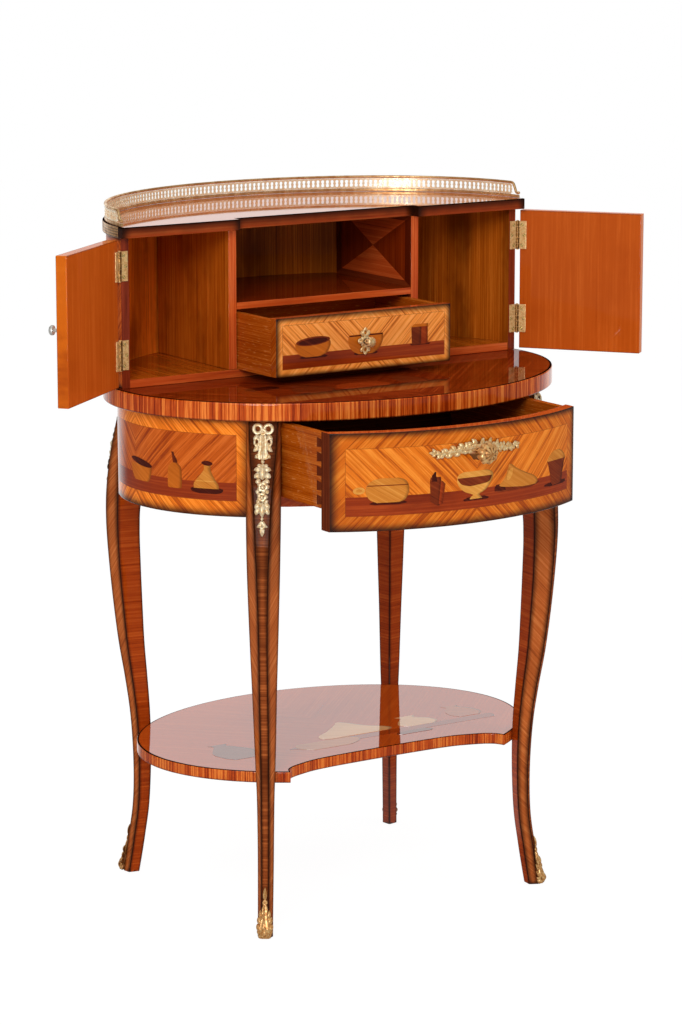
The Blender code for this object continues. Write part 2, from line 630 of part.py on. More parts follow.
KNUCKLES = 5
for side_name, side in (("left", -1), ("right", 1)):
    for level, rise in (("lower", HINGE_LOW), ("upper", HINGE_HIGH)):
        low = TABLE_HEIGHT + rise
        span = HINGE_HEIGHT / KNUCKLES
        label = f"{side_name}_{level}"
        hinge = empty("hinge_" + label, (side * HINGE_X, HINGE_Y, 0.0), root)
        for leaf_name, flip, keeps, parent in (
            ("hinge_carcass_leaf_", 1, 0, hinge),
            ("hinge_door_leaf_", -1, 1, doors[side_name]),
        ):
            leaf = slab(leaf_name + label, leaf_outline(side, flip), low,
                        low + HINGE_HEIGHT, parent, BRASS)
            for i in range(KNUCKLES):
                if i % 2 == keeps:
                    continue
                reach = sorted((side * -(KNUCKLE_RADIUS + 0.0003), side * 0.008))
                cutter = block(f"{leaf_name}{label}_cutter_{i}", reach, (-0.006, 0.006),
                               (low + i * span - 0.00015 - 0.002 * (i == 0),
                                low + (i + 1) * span + 0.00015 + 0.002 * (i == KNUCKLES - 1)),
                               parent, None, True)
                boolean(leaf, cutter)
        head = KNUCKLE_RADIUS * 0.9
        turned("hinge_pin_" + label,
               [(0.0, low + HINGE_HEIGHT + 0.0016), (head, low + HINGE_HEIGHT + 0.0012),
                (head, low + HINGE_HEIGHT + GAP), (HINGE_PIN_RADIUS, low + HINGE_HEIGHT + GAP),
                (HINGE_PIN_RADIUS, low - 0.0010), (0.0, low - 0.0010)],
               (0.0, 0.0, 0.0), (0.0, 0.0, 0.0), hinge, BRASS, 8)

    # Door and its knob
    door = doors[side_name]
    reach = sorted((-side * KNUCKLE_RADIUS, -side * door_reach))
    panel = block(f"door_panel_{side_name}", reach, (DOOR_OUTER, DOOR_INNER),
                  (DOOR_BOTTOM, DOOR_TOP), door, DOOR_WOOD)
    soften(panel, 0.0008)
    turned(f"door_knob_{side_name}",
           [(0.0, 0.0170), (0.0042, 0.0162), (0.0066, 0.0130), (0.0072, 0.0100),
            (0.0062, 0.0066), (0.0036, 0.0050), (0.0034, 0.0026), (0.0060, 0.0012),
            (0.0064, 0.0), (0.0, 0.0)],
           (-side * (door_reach - 0.017), DOOR_OUTER - GAP, (DOOR_BOTTOM + DOOR_TOP) / 2),
           (math.radians(90), 0.0, 0.0), door, NICKEL, 16)

# Frieze drawer: a bowed front, a box and a garland pull
front_back = bow(FRIEZE_DRAWER_FRONT_THICKNESS, FRIEZE_DRAWER_HALF, 20)
front = slab("frieze_drawer_front", [bow(0.0, FRIEZE_DRAWER_HALF, 20) + front_back[::-1]],
             FRIEZE_BOTTOM, FRIEZE_TOP - 0.0018, frieze_drawer, VENEER)
box_a = FRIEZE_A - FRIEZE_DRAWER_FRONT_THICKNESS
box_b = FRIEZE_B - FRIEZE_DRAWER_FRONT_THICKNESS
box_out = FRIEZE_DRAWER_HALF - 0.0008
box_in = box_out - BOX_SIDE
box_back = FRIEZE_DRAWER_DEPTH - oval_y(FRIEZE_A, FRIEZE_B, FRIEZE_DRAWER_HALF)
box_top = FRIEZE_TOP - 0.0040
for name, side in (("frieze_drawer_side_left", -1), ("frieze_drawer_side_right", 1)):
    outline = [(box_in, GAP * 1.5 - oval_y(box_a, box_b, box_in)),
               (box_out, GAP * 1.5 - oval_y(box_a, box_b, box_out)),
               (box_out, box_back), (box_in, box_back)]
    slab(name, [[(side * x, y) for x, y in outline]], BOX_BOTTOM, box_top,
         frieze_drawer, OAK)
block("frieze_drawer_back", (GAP - box_in, box_in - GAP), (box_back - 0.010, box_back),
      (BOX_BOTTOM + 0.012, box_top - 0.004), frieze_drawer, OAK)
bottom_outline = bow(FRIEZE_DRAWER_FRONT_THICKNESS + GAP, box_in - GAP, 16)
bottom_outline += [(box_in - GAP, box_back - 0.002), (GAP - box_in, box_back - 0.002)]
slab("frieze_drawer_bottom", [bottom_outline], BOX_BOTTOM + 0.0055, BOX_BOTTOM + 0.0117,
     frieze_drawer, OAK)


def pull_points(count):
    """The garland's line on the bowed front, thick by the boss and fine at its ends."""
    points = []
    for i in range(count + 1):
        s = -1 + 2 * i / count
        x = s * PULL_HALF_WIDTH
        seat = 0.0052 * (1.0 - 0.55 * abs(s))
        y = -oval_y(FRIEZE_A, FRIEZE_B, x) - GAP - seat
        z = PULL_Z + 0.006 - 0.012 * (1 - s * s) + 0.004 * math.sin(3 * math.pi * abs(s))
        points.append((x, y, z, seat / 0.0056))
    return points


pull = tube("frieze_drawer_pull", pull_points(18), 0.0052, frieze_drawer, GILT, False, 1)
boss = turned("pull_boss",
              [(0.0, 0.0333), (0.006, 0.0326), (0.011, 0.0290), (0.0135, 0.0240),
               (0.0120, 0.0190), (0.0070, 0.0155), (0.0052, 0.0110), (0.0060, 0.0050),
               (0.0110, 0.0026), (0.0125, 0.0), (0.0, 0.0)],
              (0.0, -FRIEZE_B - GAP * 2, PULL_Z - 0.004), (math.radians(90), 0.0, 0.0),
              frieze_drawer, None, 16, True)
boolean(pull, boss, "UNION")

# Small drawer in the cabinet: a flat front, a box and a rosette knob
small_front = block("small_drawer_front", (-SMALL_HALF, SMALL_HALF),
                    (CABINET_FRONT_Y, CABINET_FRONT_Y + SMALL_FRONT_THICKNESS),
                    (SMALL_BOTTOM, SMALL_TOP), small_drawer, VENEER)
soften(small_front, 0.0006)
small_box = CABINET_FRONT_Y + SMALL_FRONT_THICKNESS + GAP
small_back = CABINET_FRONT_Y + SMALL_DRAWER_DEPTH
small_in = SMALL_HALF - 0.0004 - SMALL_SIDE
for name, side in (("small_drawer_side_left", -1), ("small_drawer_side_right", 1)):
    faces = sorted((side * small_in, side * (SMALL_HALF - 0.0004)))
    block(name, faces, (small_box, small_back), (SMALL_BOTTOM, SMALL_TOP - 0.003),
          small_drawer, OAK)
block("small_drawer_back", (GAP - small_in, small_in - GAP),
      (small_back - SMALL_SIDE, small_back), (SMALL_BOTTOM + 0.0085, SMALL_TOP - 0.006),
      small_drawer, OAK)
block("small_drawer_bottom", (GAP - small_in, small_in - GAP), (small_box, small_back - 0.001),
      (SMALL_BOTTOM + 0.004, SMALL_BOTTOM + 0.008), small_drawer, OAK)
rosette_z = (SMALL_BOTTOM + SMALL_TOP) / 2 - 0.001
lobes = []
for i in range(32):
    turn = 2 * math.pi * i / 32
    size = 1.0 + 0.14 * math.cos(4 * turn) + 0.06 * math.cos(8 * turn)
    lobes.append((0.0092 * size * math.cos(turn), 0.0160 * size * math.sin(turn)))
rosette = slab("small_drawer_knob", [lobes], 0.0, 0.0024, small_drawer, GILT)
rosette.rotation_euler = (math.radians(90), 0.0, 0.0)
rosette.location = (0.0, CABINET_FRONT_Y - GAP, rosette_z)
button = turned("rosette_button",
                [(0.0, 0.0205), (0.0042, 0.0198), (0.0070, 0.0172), (0.0074, 0.0140),
                 (0.0056, 0.0112), (0.0036, 0.0090), (0.0036, 0.0040), (0.0050, 0.0010),
                 (0.0, 0.0010)],
                (0.0, CABINET_FRONT_Y - GAP, rosette_z), (math.radians(90), 0.0, 0.0),
                small_drawer, None, 16, True)
boolean(rosette, button, "UNION")

bpy.context.view_layer.update()
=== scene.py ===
import math

import bmesh
import bpy
import numpy as np
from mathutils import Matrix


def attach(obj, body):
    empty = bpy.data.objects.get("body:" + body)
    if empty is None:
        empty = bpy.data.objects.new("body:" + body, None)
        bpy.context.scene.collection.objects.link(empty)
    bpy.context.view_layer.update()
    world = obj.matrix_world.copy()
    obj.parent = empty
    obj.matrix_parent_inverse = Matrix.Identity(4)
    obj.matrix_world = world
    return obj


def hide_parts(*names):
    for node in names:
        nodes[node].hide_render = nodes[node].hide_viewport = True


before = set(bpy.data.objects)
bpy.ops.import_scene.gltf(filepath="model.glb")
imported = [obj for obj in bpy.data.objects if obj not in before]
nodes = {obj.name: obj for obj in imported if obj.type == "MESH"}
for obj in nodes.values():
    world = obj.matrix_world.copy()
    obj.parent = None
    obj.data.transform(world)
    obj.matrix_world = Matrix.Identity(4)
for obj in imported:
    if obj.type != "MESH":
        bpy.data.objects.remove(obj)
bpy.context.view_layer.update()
scene = bpy.context.scene
print("frame loaded:", len(nodes), "nodes")

# Pieces are worked out about the middle of the oval, shut, and then opened to the rest pose
ovalMiddle = np.array([0.013574, 0.0665, 0.0])
drawnOut = {"frieze_drawer": 0.119, "small_drawer": 0.1017}
doorPins = {"left_door": (-0.33551, 0.0122, -141.0), "right_door": (0.33551, 0.0122, 128.0)}  # x, y, degrees
sideSigns = {"left": -1, "right": 1}
mm = 0.001
perMetre = 1000
fitGap = 0.0003  # between pieces that lie against each other
slantShare = 0.7071  # of each axis, in grain that slants by 45 degrees


def placed(points, body):
    # a drawer slides towards -y, a door turns about its pin, and then all move to the frame
    points = points.copy()
    if body in drawnOut:
        points[:, 1] -= drawnOut[body]
    if body in doorPins:
        x, y, turn = doorPins[body]
        c, s = math.cos(math.radians(turn)), math.sin(math.radians(turn))
        flat = points[:, :2] - (x, y)
        turned = np.stack([c * flat[:, 0] - s * flat[:, 1], s * flat[:, 0] + c * flat[:, 1]], 1)
        points[:, :2] = turned + (x, y)
    return points + ovalMiddle


def pieceName(words):
    return "".join(word.title() for word in words.split("_"))


# Camera, light and floor
studio = {
    "camera": (-2.6804, -4.0782, 1.5305), "tilt": 78.7033, "turn": -33.196, "lens": 123.41, "sensor": 36,
    "towardsCamera": (-0.548, -0.832, 0.09), "window": (-0.607, -0.652, 0.454), "overhead": 0.45,
    "roomBehind": 0.10, "ambient": 0.52, "floorHalf": 9, "floorGlow": 1.06, "floorShare": 0.9,
    # where each lamp stands, what it aims at, its size and power, and whether it gives glints alone
    "lamps": {"keyLamp": ((-2.7, -2.9, 2.8), (0, 0, 0.6), 2.0, 98, False),
              "fillLamp": ((2.8, -3.0, 1.6), (0, 0, 0.5), 2.0, 27, False),
              "topLamp": ((0.2, 0.4, 3.4), (0, 0, 0.7), 2.4, 22, False),
              "glintLamp": ((-2.6, -2.9, 0.9), (0, 0, 0.7), 1.3, 42, True)},
}


def makeCamera():
    data = bpy.data.cameras.new("photoCamera")
    data.sensor_fit = "VERTICAL"
    data.sensor_height = studio["sensor"]
    data.lens = studio["lens"]
    camera = bpy.data.objects.new("photoCamera", data)
    camera.location = studio["camera"]
    camera.rotation_euler = (math.radians(studio["tilt"]), 0, math.radians(studio["turn"]))
    scene.collection.objects.link(camera)
    scene.camera = camera


def makeLamp(name, place, aim, size, power, glints):
    # three lamps light, and a low one gives glints alone, so that no flat board mirrors a lamp
    data = bpy.data.lights.new(name, "AREA")
    data.shape = "DISK"
    data.size = size
    data.energy = power
    lamp = bpy.data.objects.new(name, data)
    way = np.array(aim, float) - place
    flat = math.hypot(way[0], way[1])
    lamp.location = place
    lamp.rotation_euler = (math.atan2(flat, -way[2]), 0, math.atan2(way[1], way[0]) - math.pi / 2)
    lamp.visible_glossy = glints
    lamp.visible_diffuse = not glints
    scene.collection.objects.link(lamp)


# Small helpers for shader trees
def tone(red, green, blue):
    # a colour written as screen values, turned to linear light
    s = np.array([red, green, blue]) / 255
    return (*np.where(s < 0.04045, s / 12.92, ((s + 0.055) / 1.055) ** 2.4), 1.0)


def join(tree, value, socket):
    if isinstance(value, bpy.types.NodeSocket):
        tree.links.new(value, socket)
    else:
        socket.default_value = value


def joinAll(tree, values, sockets):
    for value, socket in zip(values, sockets):
        join(tree, value, socket)


def fill(tree, node, values):
    for name, value in values.items():
        join(tree, value, node.inputs[name])


def addNode(tree, kind, values=None, **settings):
    node = tree.nodes.new("ShaderNode" + kind)
    for name, value in settings.items():
        setattr(node, name, value)
    fill(tree, node, values or {})
    return node


def calc(tree, operation, *terms):
    node = addNode(tree, "Math", operation=operation)
    joinAll(tree, terms, node.inputs)
    return node.outputs[0]


def vectorCalc(tree, operation, *terms):
    return addNode(tree, "VectorMath", dict(enumerate(terms)), operation=operation).outputs


def ease(tree, value, low, high, start=0.0, stop=1.0):
    # smooth step of a value from low to high
    node = addNode(tree, "MapRange", interpolation_type="SMOOTHSTEP")
    joinAll(tree, (value, low, high, start, stop), node.inputs)
    return node.outputs[0]


def mixColour(tree, factor, first, second, way="MIX"):
    node = addNode(tree, "Mix", data_type="RGBA", blend_type=way)
    joinAll(tree, (factor, first, second), (node.inputs[0], node.inputs[6], node.inputs[7]))
    return node.outputs[2]


def mixValue(tree, factor, first, second):
    node = addNode(tree, "Mix", data_type="FLOAT")
    joinAll(tree, (factor, first, second), (node.inputs[0], node.inputs[2], node.inputs[3]))
    return node.outputs[0]


def vector(tree, x, y, z):
    return addNode(tree, "CombineXYZ", {"X": x, "Y": y, "Z": z}).outputs[0]


def split(tree, where):
    return addNode(tree, "SeparateXYZ", {0: where}).outputs


def objectPlace(tree):
    return addNode(tree, "TexCoord").outputs["Object"]


def objectAxes(tree):
    return split(tree, objectPlace(tree))


def axesBy(tree, way):
    # the axis that the grain follows, then the two across it
    axes = objectAxes(tree)
    index = "xyz".index(way)
    return [axes[index]] + [axes[k] for k in range(3) if k != index]


def mapped(tree):
    return split(tree, addNode(tree, "UVMap", uv_map="grainMap").outputs[0])[:2]


def edgeGap(tree):
    return addNode(tree, "Attribute", attribute_name="edgeGap").outputs["Fac"]


def noise(tree, where, detail=2.0, rough=0.5, bend=0.0):
    values = {"Vector": where, "Scale": 1.0, "Detail": detail, "Roughness": rough, "Distortion": bend}
    return addNode(tree, "TexNoise", values).outputs[0]


def slanting(tree, first, second):
    # along and across grain that slants by 45 degrees: the sum and the difference of two axes
    ways = [calc(tree, operation, first, second) for operation in ("ADD", "SUBTRACT")]
    return [calc(tree, "MULTIPLY", way, slantShare) for way in ways]


def newGroup(name, inputs, outputs):
    # inputs have their starting values, or None for a colour without one
    tree = bpy.data.node_groups.new(name, "ShaderNodeTree")
    for label, start in inputs.items():
        kind = "NodeSocketFloat" if isinstance(start, float) else "NodeSocketColor"
        socket = tree.interface.new_socket(label, in_out="INPUT", socket_type=kind)
        if start is not None:
            socket.default_value = start
    for label in outputs:
        kind = "NodeSocketColor" if label == "colour" else "NodeSocketFloat"
        tree.interface.new_socket(label, in_out="OUTPUT", socket_type=kind)
    return tree, tree.nodes.new("NodeGroupInput").outputs, tree.nodes.new("NodeGroupOutput")


def useGroup(tree, group, **values):
    return addNode(tree, "Group", values, node_tree=group).outputs


# Tones of the dark lines and shading along edges and joins
darkTones = {"burnt": tone(30, 12, 6), "arris": tone(20, 8, 4), "rim": tone(24, 10, 5),
             "corner": tone(26, 10, 6), "frontFold": tone(96, 34, 8), "boardFold": tone(60, 20, 6)}

# Shared shader groups
# how far noise is drawn out along and across the grain, its seed, detail, roughness and bend
grainLayers = {"stripe": (5, 330, 7.3, 3, 0.6, 0.2), "band": (2.2, 55, 0.0, 2),
               "fibre": (60, 900, 3.1, 2, 0.6), "cloud": (11, 16, 5.7, 3)}
grainShares = {"stripe": 0.62, "band": 0.24, "fibre": 0.14, "contrast": 3.2}


def makeGrainGroup():
    # streaks: noise drawn out along the grain at three widths, laid between three tones, with dark clouds
    inputs = {"along": 0.0, "across": 0.0, "seed": 0.0, "streak": 1.0, "fine": 1.0, "cloud": 0.3,
              "light": None, "middle": None, "dark": None}
    tree, given, out = newGroup("woodGrain", inputs, ("colour", "grain"))
    along, seed = given["along"], given["seed"]
    across = calc(tree, "MULTIPLY", given["across"], given["fine"])

    def drawn(layer):
        lengthwise, crosswise, shift, *form = grainLayers[layer]
        x = calc(tree, "MULTIPLY", along, lengthwise)
        y = calc(tree, "MULTIPLY", across, crosswise)
        return noise(tree, vector(tree, x, y, calc(tree, "ADD", seed, shift)), *form)
    bands = calc(tree, "MULTIPLY_ADD", drawn("stripe"), grainShares["stripe"],
                 calc(tree, "MULTIPLY", drawn("band"), grainShares["band"]))
    whole = calc(tree, "MULTIPLY_ADD", drawn("fibre"), grainShares["fibre"], bands)
    spread = calc(tree, "MULTIPLY", given["streak"], grainShares["contrast"])
    level = calc(tree, "MULTIPLY_ADD", calc(tree, "SUBTRACT", whole, 0.5), spread, 0.5)
    soft = mixColour(tree, ease(tree, level, 0.12, 0.58), given["light"], given["middle"])
    striped = mixColour(tree, ease(tree, level, 0.60, 0.92, 0.0, 0.85), soft, given["dark"])
    shade = ease(tree, drawn("cloud"), 0.46, 0.76, 0.0, given["cloud"])
    fill(tree, out, {"colour": mixColour(tree, shade, striped, given["dark"]), "grain": whole})
    return tree


def makeScorchGroup():
    # shading of the veneer's edge: darkest at the edge, fading over a reach, with an uneven limit
    inputs = {"colour": None, "distance": 0.0, "reach": 0.01, "strength": 0.9, "burnt": darkTones["burnt"]}
    tree, given, out = newGroup("scorchedEdge", inputs, ["colour"])
    spread = vectorCalc(tree, "MULTIPLY", objectPlace(tree), (40, 40, 40))[0]
    wander = calc(tree, "MULTIPLY_ADD", noise(tree, spread, 2), 0.7, 0.65)
    limit = calc(tree, "MULTIPLY", given["reach"], wander)
    close = ease(tree, given["distance"], 0.0, limit, 1.0, 0.0)
    shade = calc(tree, "MULTIPLY", close, given["strength"])
    fill(tree, out, {"colour": mixColour(tree, shade, given["colour"], given["burnt"])})
    return tree


def makeFrontGroup():
    # a veneered front: a border of slanting strips round a field laid in a V, a ledge strip low in the field
    inputs = {"u": 0.0, "v": 0.0, "halfLength": 0.2, "halfHeight": 0.06, "border": 0.017, "ledge": 0.024}
    outputs = ("along", "across", "seed", "borderMask", "ledgeMask", "line", "endGap", "lowGap", "topGap")
    tree, given, out = newGroup("veneeredFront", inputs, outputs)
    foldHalf = 0.0004
    wide = calc(tree, "ABSOLUTE", given["u"])
    gaps = {"endGap": calc(tree, "SUBTRACT", given["halfLength"], wide),
            "lowGap": calc(tree, "ADD", given["halfHeight"], given["v"]),
            "topGap": calc(tree, "SUBTRACT", given["halfHeight"], given["v"])}
    near = calc(tree, "MINIMUM", gaps["endGap"], calc(tree, "MINIMUM", gaps["lowGap"], gaps["topGap"]))
    borderMask = calc(tree, "LESS_THAN", near, given["border"])
    inside = calc(tree, "SUBTRACT", 1.0, borderMask)
    rise = calc(tree, "SUBTRACT", gaps["lowGap"], given["border"])
    ledgeMask = calc(tree, "MULTIPLY", inside, calc(tree, "LESS_THAN", rise, given["ledge"]))
    plus, minus = slanting(tree, wide, given["v"])
    across = mixValue(tree, borderMask, minus, plus)
    along = mixValue(tree, borderMask, plus, minus)
    across = mixValue(tree, ledgeMask, across, given["v"])
    along = mixValue(tree, ledgeMask, along, given["u"])
    ledgeSeed = calc(tree, "MULTIPLY", ledgeMask, 11.0)
    seed = calc(tree, "MULTIPLY_ADD", borderMask, 4.7, ledgeSeed)
    toFold = calc(tree, "ABSOLUTE", calc(tree, "SUBTRACT", near, given["border"]))
    line = calc(tree, "LESS_THAN", toFold, foldHalf)
    fill(tree, out, {"across": across, "along": along, "seed": seed, "line": line, "borderMask": borderMask,
                     "ledgeMask": ledgeMask, **gaps})
    return tree


grainGroup = makeGrainGroup()
scorchGroup = makeScorchGroup()
frontGroup = makeFrontGroup()


def timber(light, middle, dark, streak, fine=1.0, cloud=0.3):
    # three screen tones, how strong and how fine the streaks are, and how cloudy the wood is
    return {"light": tone(*light), "middle": tone(*middle), "dark": tone(*dark),
            "streak": streak, "fine": fine, "cloud": cloud}


woods = {
    "tulip": timber((240, 142, 46), (220, 112, 20), (156, 60, 6), 1.25),
    "tulipSmall": timber((252, 166, 84), (238, 140, 54), (164, 70, 16), 1.35, 1.7),
    "tulipDeep": timber((216, 108, 34), (192, 84, 12), (136, 44, 2), 1.25),
    "shelf": timber((212, 96, 30), (196, 79, 19), (172, 60, 9), 0.6),
    "crossband": timber((236, 130, 52), (190, 74, 18), (118, 28, 1), 1.3, 1.2),
    "redBrown": timber((218, 106, 48), (192, 76, 27), (134, 38, 8), 0.7),
    "stile": timber((150, 58, 30), (116, 38, 14), (78, 16, 2), 0.8),
    # a darker copy of redBrown, painted shade for the cabinet wall's front ends
    "walnut": timber((204, 112, 32), (170, 82, 12), (108, 42, 3), 0.75, 1.5, 0.7),
    "niche": timber((150, 56, 12), (122, 38, 4), (80, 18, 1), 0.6),
    "doorInside": timber((206, 98, 32), (190, 82, 20), (162, 60, 6), 0.55, 0.7),
    "doorEdge": timber((228, 126, 36), (202, 96, 16), (160, 62, 6), 1.1, 1.6),
    "oak": timber((198, 106, 32), (164, 72, 8), (122, 44, 1), 0.8, 1.8),
    # a darker oak, for the inside of the frieze drawer
    "darkOak": timber((112, 54, 18), (84, 34, 8), (48, 14, 2), 0.8),
    "pin": timber((116, 50, 20), (88, 32, 10), (54, 16, 3), 0.6),
    "legFace": timber((204, 116, 58), (180, 90, 38), (130, 58, 20), 0.9, 1.2),
    "legStrip": timber((184, 98, 48), (134, 64, 29), (80, 32, 13), 0.8, 1.0, 0.9),
    "legInner": timber((188, 82, 24), (162, 60, 10), (112, 32, 2), 0.8),
    "ledge": timber((172, 68, 20), (140, 46, 6), (94, 22, 1), 0.55, 1.0, 0.6),
    "writingTop": timber((150, 58, 18), (112, 32, 4), (70, 14, 1), 0.8),
    "fadedTop": timber((216, 128, 72), (188, 98, 48), (128, 52, 16), 0.7),
}
lacquered = {"coatRough": 0.035, "bump": 0.35, "relief": 0.00006}


# Materials
def newMaterial(name):
    material = bpy.data.materials.new(name)
    material.use_nodes = True
    return material, material.node_tree, material.node_tree.nodes["Principled BSDF"]


def grainIn(tree, wood, along, across, seed=0.0):
    return useGroup(tree, grainGroup, along=along, across=across, seed=seed, **woods[wood])


def scorched(tree, colour, distance, reach, strength):
    values = {"colour": colour, "distance": distance, "reach": reach, "strength": strength}
    return useGroup(tree, scorchGroup, **values)["colour"]


def lacquer(tree, shader, colour, grain, coat=1.0, rough=0.42, coatIor=1.5):
    # clear gloss lacquer over the wood, with the grain barely felt under it
    fill(tree, shader, {
        "Base Color": colour, "Roughness": ease(tree, grain, 0.2, 0.8, rough - 0.08, rough + 0.10),
        "Coat Weight": coat, "Coat Roughness": lacquered["coatRough"], "Coat IOR": coatIor,
        "Specular IOR Level": 0.0})
    bump = {"Height": grain, "Strength": lacquered["bump"], "Distance": lacquered["relief"]}
    join(tree, addNode(tree, "Bump", bump).outputs[0], shader.inputs["Normal"])


def bareLine(tree, shader, mask, coat):
    # the lacquer gives out where a dark line runs along an edge
    join(tree, ease(tree, mask, 0.0, 1.0, coat, 0.0), shader.inputs["Coat Weight"])


def frontMaterial(name, wood, halfLength, front, ledge=0.0):
    # front holds the heights of the foot and head, the border's width, how far the ends, foot and head are
    # shaded, and a tone for the border, whose grain lies the other way; ledge is the low strip's width
    material, tree, shader = newMaterial(name)
    u, z = mapped(tree)
    low, high = front["z"]
    place = {"u": u, "v": calc(tree, "SUBTRACT", z, (low + high) / 2)}
    size = {"halfLength": halfLength, "halfHeight": (high - low) / 2}
    laid = useGroup(tree, frontGroup, border=front["border"], ledge=ledge, **place, **size)
    veneer = grainIn(tree, wood, laid["along"], laid["across"], laid["seed"])
    strip = grainIn(tree, "ledge", laid["along"], laid["across"], 2.0)
    colour = veneer["colour"]
    if "borderTone" in front:
        colour = mixColour(tree, laid["borderMask"], colour, front["borderTone"], "MULTIPLY")
    colour = mixColour(tree, laid["ledgeMask"], colour, strip["colour"])
    colour = mixColour(tree, calc(tree, "MULTIPLY", laid["line"], 0.45), colour, darkTones["frontFold"])
    for gap, reach in zip(("endGap", "lowGap", "topGap"), front["shade"]):
        colour = scorched(tree, colour, laid[gap], reach, 0.94)
    lacquer(tree, shader, colour, veneer["grain"], front.get("coat", 1.0))
    return material


def edgeMaterial(name, low, high):
    # crossbanding: stripes stand upright across the edge, with a dark foot and a bare black upper arris
    material, tree, shader = newMaterial(name)
    u, z = mapped(tree)
    band = grainIn(tree, "crossband", z, u)
    colour = scorched(tree, band["colour"], calc(tree, "SUBTRACT", z, low), 0.003, 0.8)
    arris = ease(tree, calc(tree, "SUBTRACT", high, z), 0.0004, 0.0007, 1.0, 0.0)
    lacquer(tree, shader, mixColour(tree, arris, colour, darkTones["arris"]), band["grain"])
    join(tree, calc(tree, "SUBTRACT", 1.0, arris), shader.inputs["Coat Weight"])
    return material


def boardMaterial(name, wood, board):
    # the face of an oval board: quartered veneer in a band whose grain runs outwards, with a bare black rim
    material, tree, shader = newMaterial(name)
    x, y = mapped(tree)
    half, border, shade, coat = board["half"], board["band"], board["rim"], board["coat"]
    meanHalf = sum(half) / 2
    foldHalf = 0.0006
    across, deep = [calc(tree, "DIVIDE", axis, reach) for axis, reach in zip((x, y), half)]
    squares = [calc(tree, "POWER", share, 2.0) for share in (across, deep)]
    size = calc(tree, "SQRT", calc(tree, "ADD", *squares))
    gap = calc(tree, "MULTIPLY", calc(tree, "SUBTRACT", 1.0, size), meanHalf)
    turn = calc(tree, "ARCTAN2", deep, across)
    band = calc(tree, "LESS_THAN", gap, border)
    plus, minus = slanting(tree, calc(tree, "ABSOLUTE", x), y)
    acrossGrain = mixValue(tree, band, minus, calc(tree, "MULTIPLY", turn, meanHalf))
    alongGrain = mixValue(tree, band, plus, gap)
    veneer = grainIn(tree, wood, alongGrain, acrossGrain, calc(tree, "MULTIPLY", band, 5.0))
    toFold = calc(tree, "ABSOLUTE", calc(tree, "SUBTRACT", gap, border))
    fold = calc(tree, "MULTIPLY", calc(tree, "LESS_THAN", toFold, foldHalf), 0.7)
    colour = mixColour(tree, fold, veneer["colour"], darkTones["boardFold"])
    rim = ease(tree, gap, shade * 0.55, shade, 1.0, 0.0)
    colour = mixColour(tree, rim, colour, darkTones["rim"])
    lacquer(tree, shader, colour, veneer["grain"], coat, coatIor=board["coatIor"])
    bareLine(tree, shader, rim, coat)
    return material


def plainMaterial(name, wood, way, coat=1.0, rough=0.42, seed=0.0):
    # straight grain on Object coordinates: way is the axis that the grain follows
    material, tree, shader = newMaterial(name)
    along, first, second = axesBy(tree, way)
    across = calc(tree, "ADD", first, calc(tree, "MULTIPLY", second, 0.83))
    grain = grainIn(tree, wood, along, across, seed)
    lacquer(tree, shader, grain["colour"], grain["grain"], coat, rough)
    return material


def wallMaterial(name, wood, coat, rough, leaves):
    # upright grain inside the cabinet, in leaves of unlike tone, so many to a metre, palest on the left,
    # where painted light brightens the wall
    material, tree, shader = newMaterial(name)
    u, z = mapped(tree)
    grain = grainIn(tree, wood, z, u)
    depth = noise(tree, vector(tree, calc(tree, "MULTIPLY", u, leaves), 0.0, 4.0), 1)
    colour = mixColour(tree, 1.0, grain["colour"], ease(tree, depth, 0.36, 0.64, 0.66, 1.12), "MULTIPLY")
    # painted light: the wall at the far left is made up to 2.3 times brighter, standing in for light falling
    # there
    paintedLeftLight = ease(tree, objectAxes(tree)[0], -0.156, -0.142, 2.3, 1.0)
    colour = mixColour(tree, 1.0, colour, paintedLeftLight, "MULTIPLY")
    lacquer(tree, shader, colour, grain["grain"], coat, rough)
    return material


def oakMaterial(name, way):
    # drawer linings: level grain with short pale flecks
    material, tree, shader = newMaterial(name)
    along, first, second = axesBy(tree, way)
    across = calc(tree, "ADD", first, second)
    grain = grainIn(tree, "oak", along, across)
    where = vector(tree, calc(tree, "MULTIPLY", along, 70), calc(tree, "MULTIPLY", across, 520), 1.0)
    fleck = ease(tree, noise(tree, where, 1), 0.60, 0.74, 0.0, 0.5)
    colour = mixColour(tree, fleck, grain["colour"], tone(214, 142, 74))
    lacquer(tree, shader, colour, grain["grain"], 0.5, 0.45)
    return material


def legMaterial(name, wood, slanted, reach, coat):
    # slanted grain runs down towards the leg's front edge, the rest lies level; a fine black line marks each
    # corner, and the shading beside it spreads up the knee, from the first reach to the second
    material, tree, shader = newMaterial(name)
    u, z = mapped(tree)
    gap = edgeGap(tree)
    along, across = u, z
    if slanted:
        along, across = slanting(tree, z, calc(tree, "ABSOLUTE", u))
    grain = grainIn(tree, wood, along, across)
    colour = scorched(tree, grain["colour"], gap, ease(tree, z, 0.40, 0.66, *reach), 0.82)
    line = ease(tree, gap, 0.0003, 0.0014, 0.85, 0.0)
    lacquer(tree, shader, mixColour(tree, line, colour, darkTones["corner"]), grain["grain"], coat)
    return material


